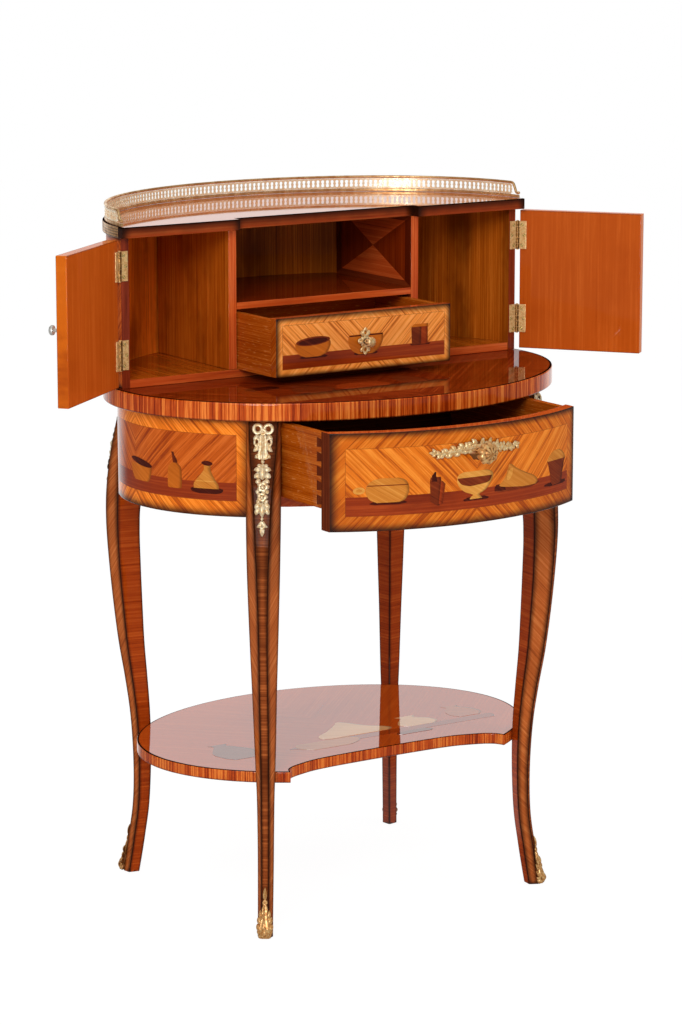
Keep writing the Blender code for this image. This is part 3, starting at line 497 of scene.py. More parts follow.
def metalMaterial(name, bright, deep, rough, size, metallic=1.0, hollowShade=None, reeds=0.0):
    # cast metal: a mottled tone; the hollow tone is painted shade, laid in its recesses where the edgeGap
    # attribute is low; reeds is the pitch of level ridges, with painted shade in the grooves between them
    material, tree, shader = newMaterial(name)
    where = objectPlace(tree)
    mottle = noise(tree, vectorCalc(tree, "MULTIPLY", where, (size, size, size))[0], 4, 0.6)
    colour = mixColour(tree, ease(tree, mottle, 0.32, 0.72), tone(*deep), tone(*bright))
    height = mottle
    if hollowShade:
        # painted shade: the hollow tone darkens the recesses, where the crown held in edgeGap is low
        colour = mixColour(tree, ease(tree, edgeGap(tree), 0.30, 0.74, 1.0, 0.0), colour, tone(*hollowShade))
    if reeds:
        ridge = calc(tree, "SINE", calc(tree, "MULTIPLY", split(tree, where)[2], 2 * math.pi / reeds))
        # painted shade: the grooves between the reeds take a dark tone
        colour = mixColour(tree, ease(tree, ridge, -0.9, -0.2, 0.75, 0.0), colour, tone(70, 40, 18))
        height = calc(tree, "ADD", calc(tree, "MULTIPLY", ridge, 2.0), mottle)
    polish = ease(tree, mottle, 0.3, 0.8, rough + 0.12, rough - 0.05)
    bump = addNode(tree, "Bump", {"Height": height, "Strength": 0.35, "Distance": 0.0003})
    fill(tree, shader, {"Base Color": colour, "Roughness": polish, "Metallic": metallic,
                        "Normal": bump.outputs[0]})
    return material


def inlayMaterial(name, light, middle, dark, coat=0.7, coatIor=1.5):
    # one tone of inlaid wood with its own slanting grain
    material, tree, shader = newMaterial(name)
    u, v = mapped(tree)
    slope = 0.6
    across = calc(tree, "ADD", v, calc(tree, "MULTIPLY", u, slope))
    along = calc(tree, "SUBTRACT", u, calc(tree, "MULTIPLY", v, slope))
    tones = {"light": light, "middle": middle, "dark": dark}
    grain = useGroup(tree, grainGroup, along=along, across=across, seed=9.0, streak=0.7, **tones)
    colour = scorched(tree, grain["colour"], edgeGap(tree), 0.006, 0.5)
    lacquer(tree, shader, colour, grain["grain"], coat, coatIor=coatIor)
    return material


# World and floor
def behindTable(tree, way):
    # mirrored brightness: white towards the backdrop behind the table, dim out to the sides and front
    aim = vectorCalc(tree, "DOT_PRODUCT", way, studio["towardsCamera"])["Value"]
    return ease(tree, aim, -0.95, -0.60, 1.0, studio["roomBehind"])


def makeWorld():
    world = bpy.data.worlds.new("whiteStudio")
    world.use_nodes = True
    tree = world.node_tree
    tree.nodes.clear()
    path = addNode(tree, "LightPath").outputs
    way = addNode(tree, "TexCoord").outputs["Generated"]
    # in mirrors there is also a window at the key lamp and a dimmer one overhead
    window = ease(tree, vectorCalc(tree, "DOT_PRODUCT", way, studio["window"])["Value"], 0.86, 0.95)
    up = vectorCalc(tree, "DOT_PRODUCT", way, (0, 0, 1))["Value"]
    overhead = ease(tree, up, 0.70, 0.95, 0.0, studio["overhead"])
    mirrored = calc(tree, "MAXIMUM", behindTable(tree, way), calc(tree, "MAXIMUM", window, overhead))
    shiny = calc(tree, "MAXIMUM", path["Is Glossy Ray"], path["Is Transmission Ray"])
    lit = mixValue(tree, shiny, studio["ambient"], mirrored)
    strength = mixValue(tree, path["Is Camera Ray"], lit, 1.0)
    background = addNode(tree, "Background", {"Color": (1, 1, 1, 1), "Strength": strength})
    tree.links.new(background.outputs[0], addNode(tree, "OutputWorld").inputs[0])
    scene.world = world


def makeFloor():
    mesh = bpy.data.meshes.new("studioFloor")
    corners = np.array([(-1, -1, 0), (1, -1, 0), (1, 1, 0), (-1, 1, 0)], float) * studio["floorHalf"]
    mesh.from_pydata(corners, [], [(0, 1, 2, 3)])
    floor = bpy.data.objects.new("studioFloor", mesh)
    scene.collection.objects.link(floor)
    material = bpy.data.materials.new("paleFloor")
    material.use_nodes = True
    tree = material.node_tree
    tree.nodes.clear()
    path = addNode(tree, "LightPath").outputs
    # lacquer mirrors the pale floor behind the table, and little of it out to the sides and front
    near = behindTable(tree, vectorCalc(tree, "NORMALIZE", objectPlace(tree))[0])
    mirrored = calc(tree, "MAXIMUM", path["Is Glossy Ray"], path["Is Transmission Ray"])
    seen = calc(tree, "MAXIMUM", path["Is Camera Ray"], calc(tree, "MULTIPLY", near, mirrored))
    dim = calc(tree, "MULTIPLY", mirrored, calc(tree, "SUBTRACT", 1.0, near))
    shade = mixColour(tree, dim, (0.86, 0.86, 0.86, 1), (0.05, 0.05, 0.05, 1))
    chalk = addNode(tree, "BsdfDiffuse", {"Color": shade})
    white = addNode(tree, "Emission", {"Color": (1, 1, 1, 1), "Strength": studio["floorGlow"]})
    blend = addNode(tree, "MixShader", {0: calc(tree, "MULTIPLY", seen, studio["floorShare"])})
    tree.links.new(chalk.outputs[0], blend.inputs[1])
    tree.links.new(white.outputs[0], blend.inputs[2])
    tree.links.new(blend.outputs[0], addNode(tree, "OutputMaterial").inputs[0])
    mesh.materials.append(material)


makeCamera()
makeWorld()
makeFloor()
for name, settings in studio["lamps"].items():
    makeLamp(name, *settings)
scene.view_settings.view_transform = "Standard"
print("studio set")


# Surfaces from numpy
weldWithin = 0.000002
crispSteps = {"face": 0.0006, "side": 0.0005, "profile": 0.0004}  # narrow rows beside a rounded edge


def gridSheet(points, uv, slot=0, wrap=False, gap=None):
    # rows by columns of points joined by four-sided faces; wrap joins the last column to the first, and a
    # stack of such grids makes one sheet
    if points.ndim == 4:
        each = gridSheet(points[0], uv[0], slot, wrap)
        starts = np.arange(len(points))[:, None, None] * len(each["points"])
        faces = (each["faces"][None] + starts).reshape(-1, 4)
        corners = np.tile(each["uv"], (len(points), 1, 1))
        gap = np.zeros(points[..., 0].size)
        return {"points": points.reshape(-1, 3), "faces": faces, "uv": corners, "slot": slot, "gap": gap}
    rows, columns = points.shape[:2]
    i, j = np.meshgrid(np.arange(rows - 1), np.arange(columns if wrap else columns - 1), indexing="ij")
    i, j = i.ravel(), j.ravel()
    k = (j + 1) % columns
    faces = np.stack([i * columns + j, i * columns + k, (i + 1) * columns + k, (i + 1) * columns + j], 1)
    corners = np.stack([uv[i, j], uv[i, j + 1], uv[i + 1, j + 1], uv[i + 1, j]], 1)
    gap = np.zeros(rows * columns) if gap is None else gap.ravel()
    return {"points": points.reshape(-1, 3), "faces": faces, "uv": corners, "slot": slot, "gap": gap}


def capSheet(ring, uv, slot=0):
    # one flat face that closes a ring
    faces = np.arange(len(ring))[None]
    return {"points": ring, "faces": faces, "uv": uv[None], "slot": slot, "gap": np.zeros(len(ring))}


def gathered(sheets, key, kind):
    return np.concatenate([np.ravel(sheet[key]) for sheet in sheets]).astype(kind)


def readAll(items, name, width, kind=np.float32):
    values = np.zeros(len(items) * width, kind)
    items.foreach_get(name, values)
    return values.reshape(-1, width)


def facing(rest, *rules):
    # which slot a face takes: that of the first rule (axis, way, least, slot) that its direction meets
    def choose(normals, middles):
        met = [normals[:, axis] * way > least for axis, way, least, slot in rules]
        return np.select(met, [slot for axis, way, least, slot in rules], rest)
    return choose


def makePiece(name, sheets, materials, body, stands=(), sharp=38, slotOf=None, shell=0.0):
    # gathers sheets, welds seams, closes open ends, turns faces outwards and puts the mesh in its rest place
    points = np.concatenate([s["points"] for s in sheets])
    starts = np.cumsum([0] + [len(s["points"]) for s in sheets])
    faces = [face for s, start in zip(sheets, starts) for face in (s["faces"] + start).tolist()]
    mesh = bpy.data.meshes.new(name)
    mesh.from_pydata(points, [], faces)
    mesh.uv_layers.new(name="grainMap").data.foreach_set("uv", gathered(sheets, "uv", np.float32))
    slots = np.concatenate([np.broadcast_to(s["slot"], len(s["faces"])) for s in sheets])
    mesh.polygons.foreach_set("material_index", slots.astype(np.int32))
    gaps = mesh.attributes.new("edgeGap", "FLOAT", "POINT")
    gaps.data.foreach_set("value", gathered(sheets, "gap", np.float32))
    work = bmesh.new()
    work.from_mesh(mesh)
    bmesh.ops.remove_doubles(work, verts=work.verts, dist=weldWithin)
    if not shell:
        bmesh.ops.holes_fill(work, edges=work.edges, sides=0)
        bmesh.ops.recalc_face_normals(work, faces=work.faces)
    work.to_mesh(mesh)
    work.free()
    if slotOf:
        chosen = slotOf(readAll(mesh.polygons, "normal", 3), readAll(mesh.polygons, "center", 3))
        mesh.polygons.foreach_set("material_index", chosen.astype(np.int32))
    rested = placed(readAll(mesh.vertices, "co", 3).astype(float), body)
    mesh.vertices.foreach_set("co", rested.ravel().astype(np.float32))
    mesh.polygons.foreach_set("use_smooth", np.ones(len(mesh.polygons), bool))
    mesh.set_sharp_from_angle(angle=math.radians(sharp))
    if shell:
        # open edges stay crisp where the thickness turns down
        used = readAll(mesh.loops, "edge_index", 1, np.int32).ravel()
        crisp = mesh.attributes.get("sharp_edge") or mesh.attributes.new("sharp_edge", "BOOLEAN", "EDGE")
        crisp.data.foreach_set("value", np.bincount(used, minlength=len(mesh.edges)) == 1)
    for material in materials:
        mesh.materials.append(material)
    piece = bpy.data.objects.new(name, mesh)
    scene.collection.objects.link(piece)
    if shell:
        wall = piece.modifiers.new("thickness", "SOLIDIFY")
        wall.thickness = shell
        wall.offset = -1.0
    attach(piece, body)
    if stands:
        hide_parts(*stands)
    return piece


def unit(ways):
    return ways / np.linalg.norm(ways, axis=-1, keepdims=True)


def lengthsOf(points, closed=False):
    # running length along a line of points
    steps = np.diff(np.concatenate([points, points[:1]]) if closed else points, axis=0)
    return np.concatenate([[0.0], np.cumsum(np.linalg.norm(steps, axis=1))])


def smoothLine(points, count):
    # a Catmull-Rom curve through the points: each span is a cubic of its four neighbours
    points = np.asarray(points, float)
    padded = np.concatenate([2 * points[:1] - points[1:2], points, 2 * points[-1:] - points[-2:-1]])
    place = np.linspace(0, len(points) - 1, count)
    k = np.minimum(place.astype(int), len(points) - 2)
    t = (place - k)[:, None]
    a, b, c, d = padded[k], padded[k + 1], padded[k + 2], padded[k + 3]
    square, cube = 2 * a - 5 * b + 4 * c - d, 3 * b - a - 3 * c + d
    return 0.5 * (2 * b + (c - a) * t + square * t ** 2 + cube * t ** 3)


def ovalPoints(half, turn):
    # an ellipse: half its width by the cosine of the angle, half its depth by the sine
    return np.stack([half[0] * np.cos(turn), half[1] * np.sin(turn)], -1)


def ovalLine(half, start, stop, count):
    # points evenly spaced along an ellipse between two angles in degrees
    fine = np.radians(np.linspace(start, stop, 4000))
    run = lengthsOf(ovalPoints(half, fine))
    return ovalPoints(half, np.interp(np.linspace(0, run[-1], count), run, fine))


def ovalNormal(half, points):
    # outwards from an ellipse: each coordinate over the square of its half size
    return unit(points / (half[0] ** 2, half[1] ** 2))


def behindFront(half, y):
    # the two angles in degrees between which an ellipse lies behind a straight front
    begin = math.degrees(math.asin(y / half[1]))
    return begin, 180 - begin


def ovalSurface(half, start, span=(-30, 210, 20001)):
    # a point from its length along an ellipse from an angle in degrees, its height and how far out it stands
    fine = np.radians(np.linspace(*span))
    run = lengthsOf(ovalPoints(half, fine))
    zero = np.interp(math.radians(start), fine, run)

    def at(u, v, lift):
        flat = ovalPoints(half, np.interp(u + zero, run, fine))
        flat = flat + ovalNormal(half, flat) * np.asarray(lift)[..., None]
        return np.concatenate([flat, np.asarray(v)[..., None]], -1)
    return at


def shortStep(way, most):
    # along each way by the most, or by a third of a way that is shorter than three such steps
    length = np.linalg.norm(way, axis=1, keepdims=True)
    return way / length * np.minimum(most, length / 3)


def cornerArcs(middles, first, radius, steps, most):
    # a quarter round about each of four middles from its first angle, with a short step after and before it
    angles = np.radians(first)[:, None] + np.radians(np.linspace(0, 90, steps + 1))
    arcs = np.array(middles)[:, None] + radius * np.stack([np.cos(angles), np.sin(angles)], -1)
    after = np.roll(arcs[:, 0], -1, axis=0)
    step = shortStep(after - arcs[:, -1], most)
    return np.concatenate([arcs, (arcs[:, -1] + step)[:, None], (after - step)[:, None]], 1).reshape(-1, 2)


def roundedRectangle(low, high, radius, steps=3):
    # a rectangle with quarter-round corners, counterclockwise from the middle of its far side
    x0, y0 = np.array(low) + radius
    x1, y1 = np.array(high) - radius
    middles = [(x0, y1), (x0, y0), (x1, y0), (x1, y1)]
    ring = cornerArcs(middles, [90, 180, 270, 0], radius, steps, crispSteps["face"])
    start = np.array([[(low[0] + high[0]) / 2, high[1]]])
    return np.concatenate([start, np.roll(ring, 1, axis=0)])


def boardSheets(outline, low, high, radius, slots=(0, 1, 2), steps=3, centred=False):
    # a flat board: its rounded edge profile carried round a closed outline, with a face above and below
    ahead = unit(np.roll(outline, -1, axis=0) - outline)
    out = np.stack([ahead[:, 1], -ahead[:, 0]], 1)
    out = unit(out + np.roll(out, 1, axis=0))
    bend = np.linspace(0, math.pi / 2, steps + 1)
    inner = -radius - min(crispSteps["face"], radius / 2)
    inset = np.concatenate([[inner], radius * (np.sin(bend) - 1), [0, 0],
                            radius * (np.cos(bend) - 1), [inner]])
    sides = [high - radius - crispSteps["side"], low + radius + crispSteps["side"]]
    height = np.concatenate([[high], high - radius * (1 - np.cos(bend)), sides,
                             low + radius * (1 - np.sin(bend)), [low]])
    levels = np.broadcast_to(height[:, None, None], (len(height), len(outline), 1))
    grid = np.concatenate([outline[None] + inset[:, None, None] * out[None], levels], 2)
    run = lengthsOf(outline, True)
    if centred:
        run = run - run[-1] / 2
    uv = np.stack(np.broadcast_arrays(run[None], height[:, None]), -1)
    faces = [capSheet(grid[row], grid[row, :, :2], slot) for row, slot in ((0, slots[1]), (-1, slots[2]))]
    return [gridSheet(grid, uv, slots[0], True)] + faces


def plankSheets(xs, ys, zs, radius, slots=(0, 1, 2), steps=3, centred=False):
    # a straight board between two limits each way, all its edges eased by the radius
    corners = zip(sorted(xs), sorted(ys))
    return boardSheets(roundedRectangle(*corners, radius, steps), *zs, radius, slots, steps, centred)


def boxedProfile(outLow, outHigh, low, high, radius, steps=3):
    # a rounded rectangle of (out, up), from the foot of its outer side, with the columns of its four sides
    x0, y0, x1, y1 = outLow + radius, low + radius, outHigh - radius, high - radius
    middles = [(x1, y0), (x1, y1), (x0, y1), (x0, y0)]
    ring = cornerArcs(middles, [270, 0, 90, 180], radius, steps, crispSteps["profile"])
    block = steps + 3
    ends = [(0, block + steps), (block + steps, 2 * block), (2 * block, 3 * block + steps),
            (3 * block + steps, 4 * block)]
    return ring, [np.arange(first, last + 1) % len(ring) for first, last in ends]


def carriedSheets(path, normal, profile, sides, slots):
    # a profile of (out, up) carried along a level path, with both ends closed
    levels = np.broadcast_to(profile[None, :, 1:], (len(path), len(profile), 1))
    grid = np.concatenate([path[:, None] + profile[None, :, :1] * normal[:, None], levels], 2)
    run = lengthsOf(path)
    run = run - run[-1] / 2
    sheets = []
    for index, columns in enumerate(sides):
        way = profile[columns, 1 if index % 2 == 0 else 0]
        uv = np.stack(np.broadcast_arrays(run[:, None], way[None]), -1)
        sheets.append(gridSheet(grid[:, columns], uv, slots[index]))
    return sheets + [capSheet(grid[end], profile, slots[4]) for end in (0, -1)]


def bentSheets(half, start, stop, count, profile, slots):
    # a boxed profile carried along an ellipse
    path = ovalLine(half, start, stop, count)
    return carriedSheets(path, ovalNormal(half, path), *profile, slots)


print("helpers ready")

# Oval writing top
ovalTop = {"half": (0.3406, 0.2624), "z": (0.7245, 0.750), "round": 0.0022, "band": 0.026, "rim": 0.005,
           "coat": 0.6, "coatIor": 1.5}
topEdge = edgeMaterial("topCrossband", *ovalTop["z"])
topFace = boardMaterial("topVeneer", "writingTop", ovalTop)
plainUnder = plainMaterial("underside", "walnut", "x", 0.3, 0.5)
outline = ovalLine(ovalTop["half"], 0, 360, 241)[:-1]
makePiece("ovalTopDressed", boardSheets(outline, *ovalTop["z"], ovalTop["round"]),
          [topEdge, topFace, plainUnder], "table", ["oval_top"])

# Frieze panels, laid on the oval between the legs
frieze = {"half": (0.3206, 0.2424), "z": (0.5892, 0.7242), "thick": 0.016, "round": 0.0012, "legTurn": 46.30,
          "sideHalf": 0.1935, "backHalf": 0.2350, "ledge": 0.025, "border": 0.022,
          "shade": (0.022, 0.015, 0.008), "borderTone": (1.62, 2.15, 1.85, 1.0)}
friezeMiddle = sum(frieze["z"]) / 2


def friezeSurface(centre, height=friezeMiddle):
    # the frieze's face: length from an angle in degrees, height above a level, and how far out
    surface = ovalSurface(frieze["half"], centre, (-200, 420, 40001))
    return lambda u, v, lift: surface(u, np.asarray(v) + height, lift)


darkEdge = plainMaterial("darkEndWood", "pin", "z", 0.25, 0.5)
sidePanel = frontMaterial("sideFriezeVeneer", "tulipDeep", frieze["sideHalf"], frieze, frieze["ledge"])
backPanel = frontMaterial("backFriezeVeneer", "tulipDeep", frieze["backHalf"], frieze)
panelProfile = boxedProfile(-frieze["thick"], 0.0, *frieze["z"], frieze["round"])
turn = frieze["legTurn"]
for word, start, stop, veneer in (("right", -turn, turn, sidePanel), ("back", turn, 180 - turn, backPanel),
                                  ("left", 180 - turn, 180 + turn, sidePanel)):
    sheets = bentSheets(frieze["half"], start, stop, 121, panelProfile, (0, 1, 1, 1, 1))
    makePiece("friezePanel" + word.title() + "Dressed", sheets, [veneer, darkEdge], "table",
              ["frieze_panel_" + word])
print("top and frieze laid")

# Cabriole legs
leg = {
    "foot": (0.2215, 0.17525), "height": 0.7242, "rows": 110, "headRows": 40, "cornerRound": 0.0022,
    # the front legs are cut back beside the drawer, above a level
    "aperture": 0.2025, "apertureFoot": 0.588, "apertureStep": 0.0006,
    # share of the height, outer face, inner corner, side corners, width and chamfer
    "form": [
        (1.0, 0.008, -0.04, -0.006, 0.049, 0.04), (0.955, 0.0165, -0.04, 0.0, 0.049, 0.037),
        (0.91, 0.0255, -0.038, 0.006, 0.049, 0.032), (0.865, 0.033, -0.034, 0.011, 0.049, 0.027),
        (0.815, 0.0395, -0.025, 0.015, 0.0488, 0.023), (0.765, 0.043, -0.01, 0.0175, 0.048, 0.0195),
        (0.71, 0.0435, -0.007, 0.018, 0.0465, 0.016), (0.64, 0.0405, -0.008, 0.0165, 0.0435, 0.0135),
        (0.56, 0.035, -0.01, 0.0125, 0.0398, 0.012), (0.48, 0.0275, -0.0125, 0.0075, 0.0357, 0.012),
        (0.41, 0.0185, -0.0165, 0.001, 0.0328, 0.0118), (0.34, 0.011, -0.02, -0.0045, 0.0298, 0.0114),
        (0.27, 0.0072, -0.0212, -0.007, 0.026, 0.011), (0.2, 0.0063, -0.02, -0.0068, 0.0244, 0.0106),
        (0.14, 0.0085, -0.017, -0.0043, 0.0236, 0.0104), (0.085, 0.0145, -0.011, 0.0018, 0.023, 0.0102),
        (0.04, 0.0195, -0.0055, 0.007, 0.0226, 0.01), (0.0, 0.024, 0.0, 0.012, 0.0226, 0.01)],
}
legDense = smoothLine(leg["form"][::-1], 600)
legNormal = ovalNormal(frieze["half"], np.array(leg["foot"]))


def legAt(z):
    # outer face, inner corner, side corner, width and chamfer at a height, from the smoothed form
    share = np.asarray(z) / leg["height"]
    return [np.interp(share, legDense[:, 0], legDense[:, k]) for k in range(1, 6)]


def onLeg(sides, n, t, z):
    # from the leg's foot, n outwards from the oval and t along it, at a height
    foot = np.array(leg["foot"]) * sides
    normal = legNormal * sides
    tangent = np.array([-normal[1], normal[0]])
    flat = foot + np.asarray(n)[..., None] * normal + np.asarray(t)[..., None] * tangent
    return np.concatenate([flat, np.broadcast_to(np.asarray(z), flat.shape[:-1])[..., None]], -1)


def legSheets(sides):
    # five corners of the leg's section, each rounded by a quadratic curve, carried up the height
    z = np.concatenate([np.linspace(0, leg["apertureFoot"] - leg["apertureStep"], leg["rows"]),
                        np.linspace(leg["apertureFoot"], leg["height"], leg["headRows"])])
    outer, inner, side, width, chamfer = legAt(z)
    places = [(outer, -chamfer / 2), (outer, chamfer / 2), (side, width / 2), (inner, 0 * z),
              (side, -width / 2)]
    corners = np.stack([np.stack(place, 1) for place in places], 1)
    after = np.roll(corners, -1, axis=1)
    span = np.linalg.norm(after - corners, axis=2, keepdims=True)
    ahead = (after - corners) / span
    behind = -np.roll(ahead, 1, axis=1)
    cut = np.minimum(leg["cornerRound"], 0.3 * np.minimum(span, np.roll(span, 1, axis=1)))
    t = np.linspace(0, 1, 5)[None, None, :, None]
    start, stop = (corners + behind * cut)[:, :, None], (corners + ahead * cut)[:, :, None]
    arcs = (1 - t) ** 2 * start + 2 * t * (1 - t) * corners[:, :, None] + t ** 2 * stop
    flats = np.array([0.03, 0.2, 0.4, 0.6, 0.8, 0.97])[None, None, :, None]
    reach = (after + np.roll(behind, -1, axis=1) * np.roll(cut, -1, axis=1))[:, :, None]
    ring = np.concatenate([arcs, stop + (reach - stop) * flats], 2)
    flat = ring.reshape(len(z), -1, 2)
    grid = onLeg(sides, flat[..., 0], flat[..., 1], z[:, None])
    if sides[1] < 0:
        high = grid[..., 2] > leg["apertureFoot"] - leg["apertureStep"] / 2
        cutBack = sides[0] * np.maximum(sides[0] * grid[..., 0], leg["aperture"])
        grid[..., 0] = np.where(high, cutBack, grid[..., 0])
    # distance to the nearest corner, and the map: across the face from the leg's front edge, and height
    near = 2 * np.abs(t - 0.5) * cut[:, :, None]
    level = (span - cut - np.roll(cut, -1, axis=1))[:, :, None]
    far = cut[:, :, None] + np.minimum(flats, 1 - flats) * level
    gap = np.concatenate([near, far], 2).reshape(len(z), -1)
    steps = np.cumsum(np.linalg.norm(np.diff(flat, axis=1), axis=2), axis=1)
    run = np.concatenate([np.zeros((len(z), 1)), steps], 1)
    sheets = []
    # a corner has five columns of arc and six of flat, and a face lies between the middles of two arcs: its
    # first and last column, its slot and the column that its map starts from
    around = flat.shape[1]
    for first, last, slot, zeroAt in ((2, 13, 0, 7), (13, 24, 1, 13), (24, 35, 2, 24), (35, 46, 2, 46),
                                      (46, 57, 1, 57)):
        whole = np.arange(first, last + 1)
        columns = whole % around
        across = np.where(whole >= around, run[:, columns] + run[:, -1:], run[:, columns])
        zeroRun = run[:, zeroAt % around] + (run[:, -1] if zeroAt >= around else 0)
        uv = np.stack([across - zeroRun[:, None], np.broadcast_to(z[:, None], across.shape)], -1)
        sheets.append(gridSheet(grid[:, columns], uv, slot, False, gap[:, columns]))
    return sheets + [capSheet(grid[end], flat[end], 2) for end in (0, -1)]


legMaterials = [legMaterial("legFrontStrip", "legStrip", False, (0.004, 0.018), 0.06),
                legMaterial("legOuterFace", "legFace", True, (0.008, 0.013), 0.4),
                legMaterial("legInnerFace", "legInner", False, (0.005, 0.007), 0.4)]
legCorners = {"front_left": (-1, -1), "front_right": (1, -1), "back_left": (-1, 1), "back_right": (1, 1)}
for where, sides in legCorners.items():
    makePiece("leg" + pieceName(where) + "Dressed", legSheets(sides), legMaterials, "table",
              ["leg_" + where])
print("legs shaped")

# Undertier shelf with its scooped front
undertier = {
    "half": (0.2972, 0.2256), "z": (0.211, 0.227), "cornerX": 0.182, "round": 0.0016, "band": 0.0,
    "rim": 0.0036, "coat": 1.0, "coatIor": 2.4,
    "scoop": [(1.000, 1.000), (0.965, 0.930), (0.915, 0.888), (0.860, 0.862), (0.780, 0.835), (0.660, 0.803),
              (0.500, 0.787), (0.300, 0.780), (0.100, 0.778)],
}
cornerTurn = math.degrees(math.acos(undertier["cornerX"] / undertier["half"][0]))
cornerY = -undertier["half"][1] * math.sin(math.radians(cornerTurn))
scoop = np.array(undertier["scoop"]) * (undertier["cornerX"], cornerY)
scoopLine = smoothLine(np.concatenate([scoop * (-1, 1), scoop[::-1]]), 90)
backLine = ovalLine(undertier["half"], -cornerTurn, 180 + cornerTurn, 180)[1:-1]
shelfLine = np.concatenate([backLine, scoopLine])
shelfEdge = edgeMaterial("shelfCrossband", *undertier["z"])
shelfFace = boardMaterial("shelfVeneer", "shelf", undertier)
makePiece("undertierDressed", boardSheets(shelfLine, *undertier["z"], undertier["round"]),
          [shelfEdge, shelfFace, plainUnder], "table", ["undertier_shelf"])

# Cabinet carcass
cabinet = {
    "half": (0.333, 0.2565), "wall": 0.012, "z": (0.7503, 0.9589), "front": 0.0139, "floorTop": 0.7617,
    "dividerX": (0.1475, 0.1602), "dividerBack": 0.2108, "shelf": (0.8463, 0.8558),
    "shelfHalf": (0.3207, 0.2442), "wallRound": 0.0008, "round": 0.0006,
    "veneerHalf": 0.475, "border": 0.020, "shade": (0.014, 0.010, 0.008), "coat": 0.4,
    # middle and half size (y, z) of the divider's four triangles, and the share of them inside the border
    "cross": {"middle": (0.113, 0.9074), "half": (0.0995, 0.0515), "field": 0.84},
}
carcassEdge = plainMaterial("carcassEdge", "redBrown", "z")
# painted shade: the wall's front ends take a darker copy of the carcass edge wood
shadedStileEdge = plainMaterial("shadedStileEdge", "stile", "z")
carcassLevel = plainMaterial("carcassLevelEdge", "redBrown", "x")
walnutWall = wallMaterial("walnutWall", "walnut", 0.15, 0.45, 16)
walnutBoard = plainMaterial("walnutBoard", "walnut", "z", 0.2, 0.45, 2.0)
walnutFloor = plainMaterial("walnutFloor", "walnut", "y", 0.8, 0.4, 5.0)
nicheGloss = plainMaterial("nicheGloss", "niche", "x", 0.6, 0.4)
wallOutside = frontMaterial("wallVeneer", "tulipDeep", cabinet["veneerHalf"], cabinet)
wallProfile = boxedProfile(-cabinet["wall"], 0.0, *cabinet["z"], cabinet["wallRound"])
wallEnds = behindFront(cabinet["half"], cabinet["front"])
makePiece("cabinetWallDressed", bentSheets(cabinet["half"], *wallEnds, 161, wallProfile, (0, 1, 2, 1, 3)),
          [wallOutside, walnutBoard, walnutWall, shadedStileEdge], "table", ["cabinet_wall"])
floorHalf = [reach - cabinet["wall"] - fitGap for reach in cabinet["half"]]
floorLine = ovalLine(floorHalf, *behindFront(floorHalf, cabinet["front"]), 120)
edgeInFront = facing(1, (1, -1, 0.5, 0))
sheets = boardSheets(floorLine, cabinet["z"][0], cabinet["floorTop"], cabinet["round"])
makePiece("cabinetFloorDressed", sheets, [carcassLevel, walnutFloor], "table",
          ["cabinet_floor"], slotOf=edgeInFront)


def crossMaterial(name):
    # four triangles meeting at a point in a dark border: grain level in two of them, upright in two
    material, tree, shader = newMaterial(name)
    axes = objectAxes(tree)
    cross = cabinet["cross"]
    y = calc(tree, "SUBTRACT", axes[1], cross["middle"][0] + float(ovalMiddle[1]))
    z = calc(tree, "SUBTRACT", axes[2], cross["middle"][1])
    wide, tall = [calc(tree, "DIVIDE", calc(tree, "ABSOLUTE", axis), half)
                  for axis, half in zip((y, z), cross["half"])]
    level = grainIn(tree, "redBrown", y, z, 3.0)
    upright = grainIn(tree, "niche", z, y, 1.0)
    colour = mixColour(tree, calc(tree, "GREATER_THAN", wide, tall), level["colour"], upright["colour"])
    border = calc(tree, "GREATER_THAN", calc(tree, "MAXIMUM", wide, tall), cross["field"])
    colour = mixColour(tree, calc(tree, "MULTIPLY", border, 0.75), colour, tone(70, 18, 6))
    lacquer(tree, shader, colour, level["grain"], 0.4)
    return material


nicheCross = crossMaterial("nicheCross")
for word, side in sideSigns.items():
    sheets = plankSheets([side * x for x in cabinet["dividerX"]], (cabinet["front"], cabinet["dividerBack"]),
                         (cabinet["floorTop"] + fitGap, cabinet["z"][1]), cabinet["round"])
    makePiece("divider" + word.title() + "Dressed", sheets, [carcassEdge, walnutBoard, nicheCross], "table",
              ["divider_" + word], slotOf=facing(1, (1, -1, 0.5, 0), (0, -side, 0.5, 2)))
half = cabinet["dividerX"][0] - fitGap
arcTurn = math.degrees(math.acos(half / cabinet["shelfHalf"][0]))
nicheLine = np.concatenate([ovalLine(cabinet["shelfHalf"], arcTurn, 180 - arcTurn, 60),
                            [(-half, cabinet["front"]), (half, cabinet["front"])]])
makePiece("nicheShelfDressed", boardSheets(nicheLine, *cabinet["shelf"], cabinet["round"]),
          [carcassLevel, nicheGloss], "table", ["niche_shelf"], slotOf=edgeInFront)

# Cabinet top board with its broken front
cabinetTop = {"half": (0.338, 0.2615), "z": (0.9592, 0.9745), "front": -0.001, "inner": 0.0139,
              "break": 0.150, "round": 0.0010, "band": 0.020, "rim": 0.004, "coat": 1.0, "coatIor": 2.3}
breakLine = [(-cabinetTop["break"], cabinetTop["front"]), (-cabinetTop["break"], cabinetTop["inner"]),
             (cabinetTop["break"], cabinetTop["inner"]), (cabinetTop["break"], cabinetTop["front"])]
topEnds = behindFront(cabinetTop["half"], cabinetTop["front"])
topLine = np.concatenate([ovalLine(cabinetTop["half"], *topEnds, 150), breakLine])


